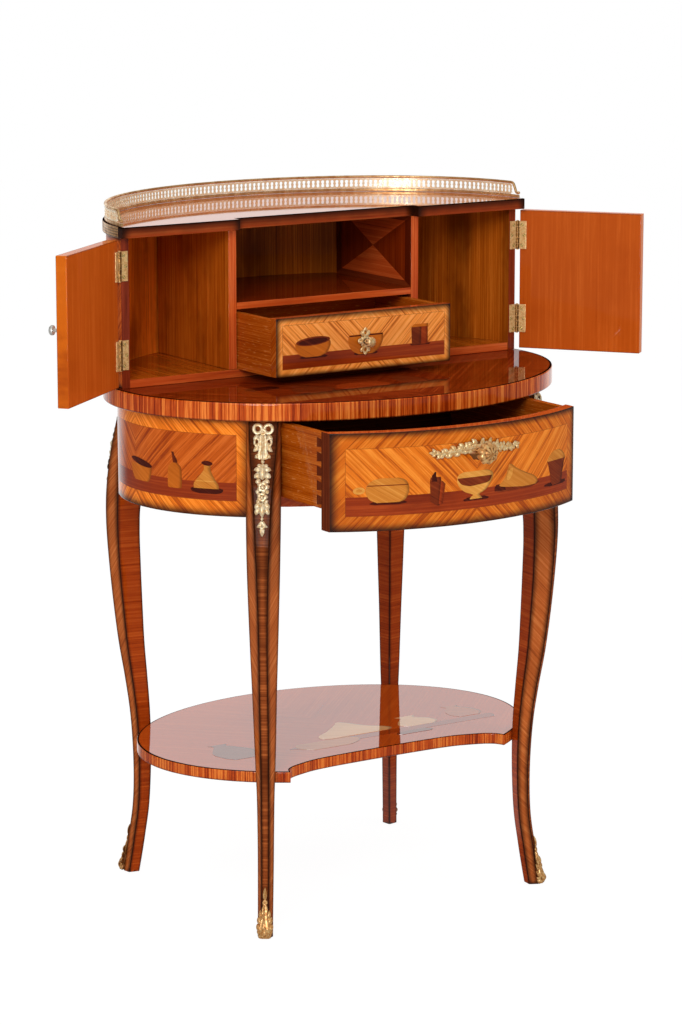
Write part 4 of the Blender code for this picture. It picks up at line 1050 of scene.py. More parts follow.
def breakMaterial(name):
    # the top board's front edge: level grain, dark along its upper half and at the corners and each break
    material, tree, shader = newMaterial(name)
    axes = objectAxes(tree)
    wide = calc(tree, "ABSOLUTE", calc(tree, "SUBTRACT", axes[0], float(ovalMiddle[0])))
    toBreak = calc(tree, "ABSOLUTE", calc(tree, "SUBTRACT", wide, cabinetTop["break"]))
    gap = calc(tree, "MINIMUM", toBreak, calc(tree, "SUBTRACT", cabinetTop["half"][0], wide))
    head = calc(tree, "SUBTRACT", cabinetTop["z"][1], axes[2])
    grain = grainIn(tree, "redBrown", axes[0], axes[2], 4.0)
    colour = mixColour(tree, 0.55, grain["colour"], tone(84, 28, 9))
    for distance, reach, strength in ((gap, 0.016, 0.92), (head, 0.0165, 0.9)):
        colour = scorched(tree, colour, distance, reach, strength)
    arris = ease(tree, head, 0.0010, 0.0018, 1.0, 0.0)
    lacquer(tree, shader, mixColour(tree, arris, colour, darkTones["arris"]), grain["grain"])
    bareLine(tree, shader, arris, 0.5)
    return material


def topSlots(normals, middles):
    # the face above, the underside, the broken front edge, and the reeded edge that goes round the back
    front = (normals[:, 1] < -0.4) | (middles[:, 1] < 0.012)
    return np.select([normals[:, 2] > 0.8, normals[:, 2] < -0.8, front], [1, 2, 3], 0)


reededBrass = metalMaterial("reededBrass", (232, 186, 130), (190, 136, 82), 0.28, 120, 0.7, None, 0.0036)
cabinetTopFace = boardMaterial("cabinetTopVeneer", "fadedTop", cabinetTop)
makePiece("cabinetTopDressed", boardSheets(topLine, *cabinetTop["z"], cabinetTop["round"]),
          [reededBrass, cabinetTopFace, walnutFloor, breakMaterial("breakEdge")],
          "table", ["cabinet_top"], slotOf=topSlots)
print("cabinet built")

# Doors
door = {"reach": (0.33251, 0.150), "y": (-0.0055, 0.0105), "z": (0.7525, 0.9565), "round": 0.0011,
        "border": 0.018, "shade": (0.010, 0.010, 0.010)}
doorOutside = frontMaterial("doorVeneer", "tulip", (door["reach"][0] - door["reach"][1]) / 2, door)


def doorInsideMaterial(name):
    # the inner face: plain upright veneer with a fine dark outline
    material, tree, shader = newMaterial(name)
    u, z = mapped(tree)
    grain = grainIn(tree, "doorInside", z, u, 6.0)
    low, high = door["z"]
    gap = calc(tree, "MINIMUM", calc(tree, "SUBTRACT", z, low), calc(tree, "SUBTRACT", high, z))
    lacquer(tree, shader, scorched(tree, grain["colour"], gap, 0.002, 0.6), grain["grain"], 0.5, 0.4)
    return material


doorInside = doorInsideMaterial("doorInsideVeneer")
doorRim = plainMaterial("doorRim", "doorEdge", "z", 0.6)
for word, side in sideSigns.items():
    xs = [side * x for x in door["reach"]]
    sheets = plankSheets(xs, door["y"], door["z"], door["round"], centred=True)
    makePiece(word + "DoorDressed", sheets, [doorOutside, doorInside, doorRim], word + "_door",
              ["door_panel_" + word], slotOf=facing(2, (1, -1, 0.6, 0), (1, 1, 0.6, 1)))
print("doors hung")

# Frieze drawer
friezeDrawer = {"half": 0.2015, "thick": 0.020, "z": (0.5892, 0.7224), "round": 0.0012, "border": 0.021,
                "ledge": 0.026, "shade": (0.016, 0.014, 0.011), "borderTone": (0.84, 0.76, 0.60, 1.0)}
frontTurn = math.degrees(math.asin(friezeDrawer["half"] / frieze["half"][0]))
frontLine = ovalLine(frieze["half"], 270 - frontTurn, 270 + frontTurn, 101)
drawerFront = frontMaterial("drawerFrontVeneer", "tulip", lengthsOf(frontLine)[-1] / 2, friezeDrawer,
                            friezeDrawer["ledge"])
drawerRim = plainMaterial("drawerRim", "redBrown", "x", 1.0, 0.4)
oakLevel = oakMaterial("oakLining", "y")
oakBack = oakMaterial("oakBack", "x")
# the frieze drawer's back, bottom and inner face take the darker oak
darkInside = plainMaterial("darkInside", "darkOak", "x", 0.3, 0.5)
forward = np.broadcast_to([0.0, -1.0], frontLine.shape)
frontProfile = boxedProfile(-friezeDrawer["thick"], 0.0, *friezeDrawer["z"], friezeDrawer["round"])
makePiece("friezeDrawerFrontDressed", carriedSheets(frontLine, forward, *frontProfile, (0, 1, 2, 2, 3)),
          [drawerFront, drawerRim, darkInside, darkEdge], "frieze_drawer",
          ["frieze_drawer_front"])

# Small drawer
smallDrawer = {"half": 0.1463, "y": (0.0139, 0.0279), "z": (0.7623, 0.8448), "round": 0.0009,
               "border": 0.0105, "ledge": 0.020, "shade": (0.010, 0.007, 0.010)}
smallFront = frontMaterial("smallFrontVeneer", "tulipSmall", smallDrawer["half"], smallDrawer,
                           smallDrawer["ledge"])
sheets = plankSheets((-smallDrawer["half"], smallDrawer["half"]), smallDrawer["y"], smallDrawer["z"],
                     smallDrawer["round"], centred=True)
makePiece("smallDrawerFrontDressed", sheets, [smallFront, oakBack, drawerRim], "small_drawer",
          ["small_drawer_front"], slotOf=facing(1, (1, -1, 0.6, 0), (2, 1, 0.6, 2)))
print("drawers fronted")


# Charts carry a design in millimetres (across, up, lift) onto a face
def planeChart(origin, right, up, out):
    # a flat face: from its origin along three directions
    def at(across, rise, lift):
        steps = [np.asarray(reach, float)[..., None] * np.array(way) * mm
                 for reach, way in ((across, right), (rise, up), (lift, out))]
        return np.array(origin) + steps[0] + steps[1] + steps[2]
    return at


def frontChart(x, y, z, out=-1):
    return planeChart((x, y, z), (1, 0, 0), (0, 0, 1), (0, out, 0))


def axleChart(x, y, z):
    return planeChart((x, y, z), (1, 0, 0), (0, 1, 0), (0, 0, 1))


def inMillimetres(surface):
    return lambda across, rise, lift: surface(*[np.asarray(reach) * mm for reach in (across, rise, lift)])


def legChart(sides):
    # across the leg's front strip and, past the strip's edges, along its side faces
    def at(across, rise, lift):
        z = chute["top"] + np.asarray(rise) * chute["mmUp"]
        lift = np.asarray(lift) * mm
        outer, _, side, width, chamfer = legAt(z)
        t = np.abs(across) * mm
        over = np.maximum(t - chamfer / 2, 0)
        slope = np.hypot(side - outer, (width - chamfer) / 2)
        back, wide = (side - outer) / slope, (width - chamfer) / 2 / slope
        turned = np.clip(over / chute["turnOver"], 0, 1)
        n = outer + over * back + lift * (1 + turned * (wide - 1))
        t = np.minimum(t, chamfer / 2) + over * wide - lift * turned * back
        return onLeg(sides, n, np.sign(across) * t, z)
    return at


def shoeChart(sides):
    # a shallow cup over the leg's front edge: past the strip it falls back by a small share of its width
    def at(across, rise, lift):
        z = np.maximum(np.asarray(rise) * mm, sabot["floorGap"])
        outer, _, _, _, chamfer = legAt(z)
        t = np.asarray(across) * mm
        over = np.maximum(np.abs(t) - chamfer / 2, 0)
        return onLeg(sides, outer - sabot["fallBack"] * over + np.asarray(lift) * mm, t, z)
    return at


# Cast ornament: strands, leaves and blossoms on a chart
def strandSheet(chart, path, half, thick, around=8, ribs=0, ribDepth=0.0, closed=False, veinShade=0.0):
    # an oval section carried along a line of the chart; ribs swell and shrink it round the section, and a
    # vein darkens its crest; the crown sets painted shade, high on the outer side and low against the face
    # beneath
    path = np.asarray(path, float)
    ahead = unit(np.roll(path, -1, 0) - np.roll(path, 1, 0) if closed else np.gradient(path, axis=0))
    side = unit(np.cross(ahead, (0.0, 0.0, 1.0)))
    out = np.cross(side, ahead)
    turn = np.linspace(0, 2 * math.pi, around, endpoint=False)
    swell = 1 + ribDepth * np.cos(ribs * turn)
    half, thick = np.broadcast_to(half, len(path)), np.broadcast_to(thick, len(path))
    ring = path[:, None] + side[:, None] * (half[:, None] * np.cos(turn) * swell)[..., None]
    ring = ring + out[:, None] * (thick[:, None] * np.sin(turn) * swell)[..., None]
    if closed:
        ring = np.concatenate([ring, ring[:1]])
    uv = np.zeros((len(ring), around + 1, 2))
    # painted shade: the metal lays its hollow tone where this crown is low, on the under side and along the
    # vein
    shadeCrown = 0.5 + 0.5 * np.sin(turn) * swell - veinShade * (np.sin(turn) > 0.95)
    shadeCrown = np.broadcast_to(shadeCrown, ring.shape[:2])
    return gridSheet(chart(ring[..., 0], ring[..., 1], ring[..., 2]), uv, 0, True, shadeCrown)


def leafSheet(chart, root, tip, width, bend=0.0, lift=(0.5, 1.4, 0.8), thick=0.9):
    # a leaf: its width goes as s^0.6 (1 - s)^0.8 from root to tip, and its middle line bends to one side
    s = np.linspace(0, 1, 10)
    root, tip = np.array(root, float), np.array(tip, float)
    way = tip - root
    flat = root + s[:, None] * way + (bend * np.sin(math.pi * s))[:, None] * np.array([-way[1], way[0]])
    rise = lift[0] + lift[1] * np.sin(math.pi * s) + lift[2] * s ** 2
    form = s ** 0.6 * (1 - s) ** 0.8 / 0.3845  # 1 where the leaf is widest
    path = np.concatenate([flat, rise[:, None]], 1)
    return strandSheet(chart, path, width * form, thick * form ** 0.6, 12, 4, 0.14, veinShade=0.45)


def blossomSheet(chart, centre, profile, lobes=0, depth=0.0, around=24, turnBy=0.0):
    # a turned profile of (radius, lift) whose wider parts swell into lobes round the middle
    r, h = np.array(profile, float).T
    turn = np.linspace(0, 2 * math.pi, around, endpoint=False)
    lobe = np.cos(lobes * turn + turnBy)[None]
    swell = 1 + depth * lobe * ((r / r.max()) ** 2)[:, None]
    across = centre[0] + r[:, None] * swell * np.cos(turn)
    rise = centre[1] + r[:, None] * swell * np.sin(turn)
    points = chart(across, rise, np.broadcast_to(centre[2] + h[:, None], across.shape))
    # painted shade: the crown is high on what stands proud and on the lobes, low in the dips between them,
    # and the metal lays its hollow tone where it is low
    smoothed = np.convolve(np.pad(h, 2, "edge"), np.ones(5) / 5, "valid")
    dip = np.clip((h - smoothed) / (0.06 * (h.max() - h.min())), -1, 1)
    low = h < 0.15 * h.max()
    shadeCrown = 0.62 + 0.3 * dip[:, None] + 0.3 * lobe * (depth > 0) - 0.5 * low[:, None]
    return gridSheet(points, np.zeros((len(r), around + 1, 2)), 0, True, shadeCrown)


def ringSheet(chart, centre, radius, half, lift, thick=1.0, stretch=1.0):
    # a loop of the strand round a centre
    turn = np.linspace(0, 2 * math.pi, 18, endpoint=False)
    path = np.stack([centre[0] + radius * np.cos(turn), centre[1] + radius * stretch * np.sin(turn),
                     np.full(len(turn), lift)], 1)
    return strandSheet(chart, path, half, thick, 8, closed=True)


def beadSheet(chart, centre, radius):
    # a ball: half a circle turned about its middle
    turn = np.radians(np.linspace(90, -90, 8))
    profile = np.stack([radius * np.cos(turn), radius * np.sin(turn)], 1)
    return blossomSheet(chart, centre, profile, around=14)


def pairedLeaves(chart, side, leaves, *form):
    # leaves given by root, tip, width and bend, laid on one side of the middle line
    return [leafSheet(chart, (side * root[0], root[1]), (side * tip[0], tip[1]), width, side * bend, *form)
            for root, tip, width, bend in leaves]


# (radius, lift) from the middle outwards
flowerForm = [(0, 4.4), (1.2, 4.2), (1.9, 3.3), (2.3, 3.0), (3.6, 3.9), (5.2, 3.6), (6.6, 2.2), (6.9, 0.9),
              (6.2, -0.4), (0, -0.6)]
buttonForm = [(0, 6.0), (1.3, 5.8), (2.4, 5.0), (2.7, 4.2), (2.4, 3.4), (0, 3.0)]

# Chutes: a ribbon bow, a fluted drop, sprays, two flowers and a pendant down the top of each leg
chute = {
    "top": 0.7212, "mmUp": 0.00097, "turnOver": 0.003,
    # half a bow: centre and half size (across, up, lift), half width and thickness
    "bow": ((7.2, -7.6, 2.0), (5.4, 5.6, 0.7), 2.3, 1.5),
    # a strand down the middle: head, fall, lift and its gain, and half widths at shares of the length
    "drop": (-14, -36, (0.8, 0), ((0, 0.06, 0.3, 0.65, 0.86, 0.95, 1), (0.4, 4.4, 5.0, 5.6, 7.6, 6.0, 0.4))),
    "tail": (-142, -12, (0.8, 0), ((0, 0.2, 0.6, 1), (0.4, 3.6, 2.9, 0.3))), "tailThick": 2.4,
    # a loop: centre, radius, half width, lift, thickness and stretch; a bead: centre and radius
    "sideLoop": ((8.2, -25.5), 3.2, 1.6, 1.5, 1.4, 1.5), "tailLoop": ((0, -138.4), 3.2, 1.6, 1.4, 1.4, 1.25),
    "knotLoop": ((0, -11.4), 3.4, 1.5, 2.6, 1.4), "knotBead": ((0, -11.4, 2.4), 2.4),
    "beads": [((0, -51.6, 1.4), 2.6), ((0, -129.4, 1.2), 2.2)],
    # a flower: centre and size; a leaf: root, tip, width and bend, with its lift and thickness
    "flowers": [(0.8, -85.6, 1.18), (-0.2, -99.4, 1.06)],
    "spears": [((0, -77), (0, -52.5), 4.0, 0, (0.8, 2.2, 0.2), 1.8),
               ((0, -107), (0, -128), 4.0, 0, (0.8, 2.0, 0.2), 1.7)],
    "leafForm": ((0.5, 1.4, 0.8), 1.3),
    "leaves": [((4.2, -18), (12.0, -24), 3.0, 0.2), ((6.6, -26), (13.2, -38.5), 3.2, -0.15),
               ((5.6, -42), (10.4, -47.5), 2.4, 0.0), ((1.0, -66), (11.8, -63.2), 3.7, 0.2),
               ((1.2, -71), (11.4, -73.6), 3.9, 0.15), ((2.0, -60), (7.6, -56.4), 2.7, 0.1),
               ((2.2, -78), (9.4, -80.4), 3.2, 0.1), ((3.4, -93), (9.4, -91.6), 3.0, 0.0),
               ((2.2, -107), (8.4, -104.6), 2.9, 0.0), ((0.8, -109), (9.0, -116.6), 3.5, 0.15),
               ((0.8, -114), (8.4, -124.6), 3.4, 0.15), ((0.8, -132), (7.6, -141.0), 2.7, -0.2)],
}


def hangingLine(strand, count):
    # straight down the middle from a head, the lift growing as a square, with the half widths
    head, fall, (lift, gain), widths = strand
    s = np.linspace(0, 1, count)
    return np.stack([0 * s, head + fall * s, lift + gain * s ** 2], 1), np.interp(s, *widths)


def chuteSheets(chart):
    # bow and rings are loops, the drop and the pendant are ribbed strands that swell along their length
    loop = np.linspace(0, 2 * math.pi, 24, endpoint=False)
    centre, reach, *form = chute["bow"]
    waves = (np.cos(loop), np.sin(loop), np.cos(loop))
    bow = np.stack([middle + far * wave for middle, far, wave in zip(centre, reach, waves)], 1)
    (loopX, loopY), *loopForm = chute["sideLoop"]
    sheets = []
    for side in (-1, 1):
        sheets.append(strandSheet(chart, bow * (side, 1, 1), *form, 8, closed=True))
        sheets.append(ringSheet(chart, (side * loopX, loopY), *loopForm))
        sheets += pairedLeaves(chart, side, chute["leaves"], *chute["leafForm"])
    drop, half = hangingLine(chute["drop"], 22)
    sheets.append(strandSheet(chart, drop, half, np.minimum(half, 4.0), 32, 16, 0.10))
    sheets += [beadSheet(chart, *chute["knotBead"]), ringSheet(chart, *chute["knotLoop"])]
    sheets += [beadSheet(chart, *bead) for bead in chute["beads"]]
    sheets += [leafSheet(chart, *spear) for spear in chute["spears"]]
    for x, y, size in chute["flowers"]:
        sheets += [blossomSheet(chart, (x, y, 0.4), np.array(flowerForm) * size, 5, 0.13, 30),
                   blossomSheet(chart, (x, y, 0.4), np.array(buttonForm) * size, 6, 0.1, 18)]
    sheets.append(ringSheet(chart, *chute["tailLoop"]))
    tail, half = hangingLine(chute["tail"], 10)
    shares = np.clip(np.linspace(0, 1, 10), 0.02, 0.98)
    swelling = chute["tailThick"] * np.sin(math.pi * shares) ** 0.5
    sheets.append(strandSheet(chart, tail, half, swelling, 16, 8, 0.1))
    return sheets


# Sabots: a foliate shoe with a fine tip and a scroll at the foot
sabot = {
    "floorGap": 0.0004, "fallBack": 0.15,
    # the rows mean what they do in the chute; the spine's thickness goes by shares of its length
    "spine": (52, -42, (0.8, 3.8), ((0, 0.08, 0.3, 0.55, 0.85, 1), (0.3, 2.2, 4.2, 4.4, 8.4, 7.6))),
    "spineThick": ((0, 0.2, 1), (0.6, 2.8, 4.6)), "loop": ((0, 50.2), 2.3, 1.3, 1.8, 1.4, 1.2),
    "spears": [((0, 19), (0, 3.0), 3.2, 0, (5.4, 3.4, 0.8), 2.0),
               ((0, 52), (0, 71), 2.4, 0, (0.9, 1.8, 0.3), 1.6)],
    "toeLeaf": ((3.6, 16), (5.2, 3.6), 2.6, 0), "toeForm": ((5.2, 3.0, 0.6), 1.8),
    "scroll": {"reach": 9.4, "rise": 5.6, "lift": (2.4, 1.2), "half": 5.0, "thick": 5.6},
    "leafForm": ((1.2, 2.8, 0.8), 1.6),
    "leaves": [((1.4, 26), (6.4, 40), 2.7, -0.1), ((2.0, 20), (9.0, 31), 3.1, -0.15),
               ((2.4, 12), (10.6, 21), 3.3, -0.15), ((3.0, 9), (11.0, 11.4), 3.0, -0.1)],
}


def sabotSheets(chart):
    # a ribbed strand widens down the leg between leaves, and a scroll lies across the toe
    spine, half = hangingLine(sabot["spine"], 24)
    thick = np.interp(np.linspace(0, 1, 24), *sabot["spineThick"])
    sheets = [strandSheet(chart, spine, half, thick, 26, 9, 0.12)]
    for side in (-1, 1):
        sheets += pairedLeaves(chart, side, sabot["leaves"], *sabot["leafForm"])
        sheets += pairedLeaves(chart, side, [sabot["toeLeaf"]], *sabot["toeForm"])
    sheets += [leafSheet(chart, *spear) for spear in sabot["spears"]]
    sheets.append(ringSheet(chart, *sabot["loop"]))
    scroll = sabot["scroll"]
    roll = np.linspace(-1, 1, 15)
    taper = np.sqrt(np.clip(1 - roll ** 6, 0.0004, 1))
    lift, fall = scroll["lift"]
    toe = np.stack([scroll["reach"] * roll, scroll["rise"] + 0 * roll, lift - fall * roll ** 2], 1)
    sheets.append(strandSheet(chart, toe, scroll["half"] * taper, scroll["thick"] * taper, 16, 8, 0.06))
    return sheets


# the last tone of each gilt is painted shade for its recesses
gilt = metalMaterial("giltBronze", (255, 242, 208), (224, 182, 124), 0.30, 260, 0.45, (84, 46, 16))
pullGilt = metalMaterial("pullGilt", (255, 234, 182), (228, 174, 106), 0.28, 260, 0.45, (62, 30, 8))
amberGilt = metalMaterial("amberGilt", (246, 204, 138), (198, 128, 62), 0.28, 260, 0.42, (132, 78, 32))
brass = metalMaterial("polishedBrass", (255, 242, 212), (246, 212, 168), 0.24, 90, 0.35)
hingeBrass = metalMaterial("hingeBrass", (255, 218, 154), (220, 164, 98), 0.28, 300, 0.45)
hingeBarrel = metalMaterial("hingeBarrel", (192, 142, 80), (100, 64, 30), 0.28, 300, 0.7)
screwBrass = metalMaterial("screwBrass", (255, 226, 150), (255, 204, 112), 0.26, 300, 0.5)
railBrass = metalMaterial("railBrass", (252, 212, 154), (206, 150, 92), 0.24, 90, 0.7)
nickel = metalMaterial("nickelPlate", (240, 238, 232), (200, 197, 190), 0.2, 120, 0.55)
# painted shade for the screws' slots and rims
slotShade = metalMaterial("screwSlot", (96, 64, 30), (60, 36, 14), 0.5, 300)
for where, sides in legCorners.items():
    makePiece("chute" + pieceName(where), chuteSheets(legChart(sides)), [gilt], "table",
              ["chute_" + where], sharp=50)
    makePiece("sabot" + pieceName(where), sabotSheets(shoeChart(sides)), [amberGilt], "table",
              ["sabot_" + where], sharp=50)
print("leg mounts cast")

# Garland pull on the frieze drawer
pull = {
    "z": 0.6897, "reach": 72.0, "tipReach": 75.0, "stations": 11, "flowersAt": (2, 4, 6, 8),
    # the swag's rise at its middle line, in its wave and at its tips, which take the last share of it
    "rise": 2.0, "wave": 3.2, "tipRise": 3.0, "swag": 0.82, "tips": 0.18,
    "lift": 4.2, "half": 3.4, "thick": 2.8, "taper": 0.55, "leaf": (10.2, 3.4), "bead": 2.1, "flower": 0.9,
    # the rise of the boss, and (radius, lift) from its middle outwards
    "bossRise": -1.6,
    "boss": [(0, 33.3), (3.6, 33.0), (6.6, 32.2), (8.0, 30.4), (10.2, 30.6), (12.8, 28.4), (14.6, 24.6),
             (13.6, 20.4), (8.8, 16.4), (5.2, 11.0), (6.0, 5.0), (11.0, 2.6), (12.5, 0.2), (0, 0.0)],
}


def pullLine(s):
    # the swag falls as a cosine from its middle, turns up as a square at its tips and lies closer in there
    away = np.abs(s)
    wave = pull["wave"] * np.cos(math.pi * away / pull["swag"])
    tips = pull["tipRise"] * (np.maximum(away - pull["swag"], 0) / pull["tips"]) ** 2
    lift = pull["lift"] * (1 - pull["taper"] * away)
    return np.stack([pull["reach"] * s, pull["rise"] + wave + tips, lift], -1)


def pullSheets(chart):
    # a tapering strand, with leaves, beads and flowers at stations that shrink towards the tips, and a boss
    s = np.linspace(-1, 1, 61)
    away = np.abs(s)
    half = pull["half"] * (1 - pull["taper"] * away) * np.clip((1 - away) * 12, 0.05, 1)
    sheets = [strandSheet(chart, pullLine(s), half, pull["thick"] * (1 - 0.5 * away), 10)]
    leafLength, leafWidth = pull["leaf"]
    for side in (-1, 1):
        for k, share in enumerate(np.linspace(0.07, 0.93, pull["stations"])):
            middle = pullLine(np.array(side * share))
            x, y, out = middle
            size = 1 - 0.42 * share
            for way in (-1, 1):
                lean = math.radians(46 + 18 * ((k + (way > 0)) % 2))
                reach = leafLength * size * (1 + 0.3 * math.sin(2.7 * k + 1.6 * way + side))
                tip = middle[:2] + reach * np.array([side * math.cos(lean), way * math.sin(lean)])
                lift = (out * 0.5, 2.0, -1.2)
                sheets.append(leafSheet(chart, (x, y), tip, leafWidth * size, 0.12 * way * side, lift, 1.4))
            if k % 2:
                sheets.append(beadSheet(chart, (x, y + 2.2, out + 1.8), pull["bead"] * size))
            if k in pull["flowersAt"]:
                form = np.array(flowerForm) * pull["flower"] * size
                sheets.append(blossomSheet(chart, (x, y, out * 0.4), form, 5, 0.14, turnBy=k))
        end = pullLine(np.array(side * 0.92))
        tip = (side * pull["tipReach"], end[1] + 2.0)
        sheets.append(leafSheet(chart, end[:2], tip, 2.0, 0, (0.8, 1.2, -0.6), 1.1))
    boss = [blossomSheet(chart, (0, pull["bossRise"], 0.3), pull["boss"], 9, 0.07, 54),
            blossomSheet(chart, (0, pull["bossRise"], 27.6), np.array(flowerForm) * (1.2, 1.0), 6, 0.2, 36)]
    for sheet in boss:
        sheet["slot"] = 1
    return sheets + boss


pullChart = inMillimetres(friezeSurface(270, pull["z"]))
makePiece("garlandPull", pullSheets(pullChart), [pullGilt, amberGilt], "frieze_drawer",
          ["frieze_drawer_pull"], sharp=50)

# Rosette and button on the small drawer
rosette = {
    "z": 0.8026, "plate": [(0, 2.6), (5.6, 2.4), (7.6, 1.7), (8.4, 0.2), (0, -0.2)],
    "button": [(0, 20.5), (2.6, 20.3), (4.2, 19.8), (5.8, 18.8), (7.0, 17.2), (7.4, 14.0), (6.6, 12.2),
               (5.6, 11.2), (3.6, 9.0), (3.6, 4.0), (5.0, 1.0), (0, 0.6)],
}


def rosetteSheets(chart):
    # a lobed plate and a fluted button turned about the middle, with loops, leaves and beads round them
    sheets = [blossomSheet(chart, (0, 0, 0), rosette["plate"], 8, 0.12, 48),
              blossomSheet(chart, (0, 0, 0), rosette["button"], 10, 0.07, 60)]
    for way in (-1, 1):
        sheets += [ringSheet(chart, (0, way * 12.0), 3.6, 1.6, 1.3, 1.4, 1.15),
                   leafSheet(chart, (0, way * 14.6), (0, way * 19.6), 2.4, 0, (0.6, 1.2, 0.2), 1.4),
                   ringSheet(chart, (way * 8.4, 0.6), 2.6, 1.4, 1.3, 1.3)]
        for side in (-1, 1):
            root, tip = (side * 3.0, way * 6.6), (side * 8.8, way * 12.0)
            sheets += [leafSheet(chart, root, tip, 2.4, 0.2 * side * way, (0.5, 1.2, 0.4), 1.3),
                       beadSheet(chart, (side * 6.2, way * 13.6, 0.9), 1.6)]
    return sheets


smallChart = frontChart(0, smallDrawer["y"][0] - fitGap, rosette["z"])
makePiece("rosetteKnob", rosetteSheets(smallChart), [pullGilt], "small_drawer",
          ["small_drawer_knob"], sharp=50)

# Turned door knobs
knob = {"x": 0.167, "y": -0.0058, "z": 0.8545,
        "form": [(0, 17.0), (2.6, 16.8), (5.2, 15.9), (6.8, 14.2), (7.1, 12.4), (6.4, 10.6), (4.2, 9.4),
                 (2.7, 8.6), (2.5, 5.0), (2.9, 2.4), (5.0, 1.3), (5.6, 0.3), (0, 0.0)]}
for word, side in sideSigns.items():
    chart = frontChart(side * knob["x"], knob["y"], knob["z"])
    makePiece(word + "DoorKnob", [blossomSheet(chart, (0, 0, 0), knob["form"], around=40)], [nickel],
              word + "_door", ["door_knob_" + word])
print("pull, rosette and knobs cast")

# Gallery: a base rail, a fret of figure-of-eight openings and a top rail that ramps down at its ends
gallery = {
    "half": (0.3335, 0.257), "railFront": 0.007, "base": (0.9748, 0.9793), "baseHalf": 0.0015,
    "baseRound": 0.0007, "fret": (0.9796, 0.9942), "fretFront": 0.025, "strip": 0.0022, "stripRound": 0.0003,
    # each opening's lobes and waist in shares of its cell
    "cell": 0.0072, "lobe": 0.26, "lobeHalf": 0.33, "waistHalf": 0.19,
    # millimetres: half the fret's thickness, and the top rail with its ramp (along, height)
    "thick": 0.9, "rail": 996.5, "railRound": 2.0, "railEnd": (-17.4, 982.2), "endBead": 2.3,
    "ramp": [(-17, 981.6), (-12, 982.8), (-8.5, 989.6), (-5, 995.0), (0, 996.5), (4, 996.5)],
}
galleryHalf = gallery["half"]
oneSlot = (0,) * 5
baseProfile = boxedProfile(-gallery["baseHalf"], gallery["baseHalf"], *gallery["base"], gallery["baseRound"])
baseEnds = behindFront(galleryHalf, gallery["railFront"])
makePiece("galleryBaseRail", bentSheets(galleryHalf, *baseEnds, 161, baseProfile, oneSlot), [railBrass],
          "table", ["gallery_base_rail"])
fretEnds = behindFront(galleryHalf, gallery["fretFront"])
fretLength = lengthsOf(ovalLine(galleryHalf, *fretEnds, 2001))[-1]
galleryChart = inMillimetres(ovalSurface(galleryHalf, fretEnds[0]))
low, high = gallery["fret"]
strip = gallery["strip"]
barThick = gallery["thick"] * mm
sheets = []
for edge in (low, high - strip):
    stripProfile = boxedProfile(-barThick, barThick, edge, edge + strip, gallery["stripRound"])
    sheets += bentSheets(galleryHalf, *fretEnds, 161, stripProfile, oneSlot)
# each bar lies between two openings: it is narrow beside their round ends and wide at their waist
cells = round(fretLength / gallery["cell"])
middles = np.linspace(0, fretLength, cells + 1)
up = np.linspace(0, 1, 15)
lobe = gallery["lobe"]
opening = np.sqrt(np.clip(1 - ((np.minimum(up, 1 - up) - lobe) / lobe) ** 2, 0, 1))
waist = np.where((up > lobe) & (up < 1 - lobe), gallery["waistHalf"], 0.0)
barHalf = (0.5 - np.maximum(gallery["lobeHalf"] * opening, waist)) * fretLength / cells
overlap = 0.8 * strip
z = low + overlap + up * (high - low - 2 * overlap)
across = (middles[:, None, None] + barHalf[None, :, None] * np.array([-1, 1, 1, -1])) * perMetre
lift = np.broadcast_to(np.array([1, 1, -1, -1]) * gallery["thick"], across.shape)
bars = galleryChart(across, np.broadcast_to(z[None, :, None] * perMetre, across.shape), lift)
sheets.append(gridSheet(bars, np.zeros(bars.shape[:2] + (5, 2)), 0, True))
makePiece("galleryFret", sheets, [brass], "table", ["gallery_fret"], sharp=60)
railLength = fretLength * perMetre
ramp = smoothLine(gallery["ramp"], 26)
level = np.stack([np.linspace(8, railLength - 8, 150), np.full(150, gallery["rail"])], 1)
railPath = np.concatenate([ramp, level, ramp[::-1] * (-1, 1) + (railLength, 0)])
railPath = np.concatenate([railPath, np.zeros((len(railPath), 1))], 1)
railRound = np.full(len(railPath), gallery["railRound"])
railRound[[0, -1]] *= 0.02
endX, endZ = gallery["railEnd"]
sheets = [strandSheet(galleryChart, railPath, railRound, railRound, 12)]
sheets += [beadSheet(galleryChart, (x, endZ, 0), gallery["endBead"]) for x in (endX, railLength - endX)]
makePiece("galleryTopRail", sheets, [railBrass], "table", ["gallery_top_rail"], sharp=60)
print("gallery bent")

# Butt hinges with slotted screws
hinge = {
    "levels": {"lower": (0.7762, 0.8175), "upper": (0.8993, 0.9406)}, "leaf": 0.0132,
    "plate": (0.0002, 0.0014), "plateRound": 0.0003, "knuckles": 5,
    # each screw's distance from the pin and its share of the height
    "screws": [(0.0066, 0.14), (0.0098, 0.5), (0.0066, 0.86)],
    # millimetres: a knuckle's radius, bore, gap and eased edge, and a screw's head, slot and heights
    "knuckle": 3.0, "bore": 1.3, "gap": 0.5, "eased": 0.25,
    "head": 1.9, "slotHalf": 0.25, "slotFloor": 0.02, "rim": 0.03, "dome": 0.12,
    # (radius, lift) of the pin's end
    "pinEnd": [(0, 1.2), (1.4, 1.1), (2.2, 0.6), (2.2, 0.1), (1.2, 0.1)],
}


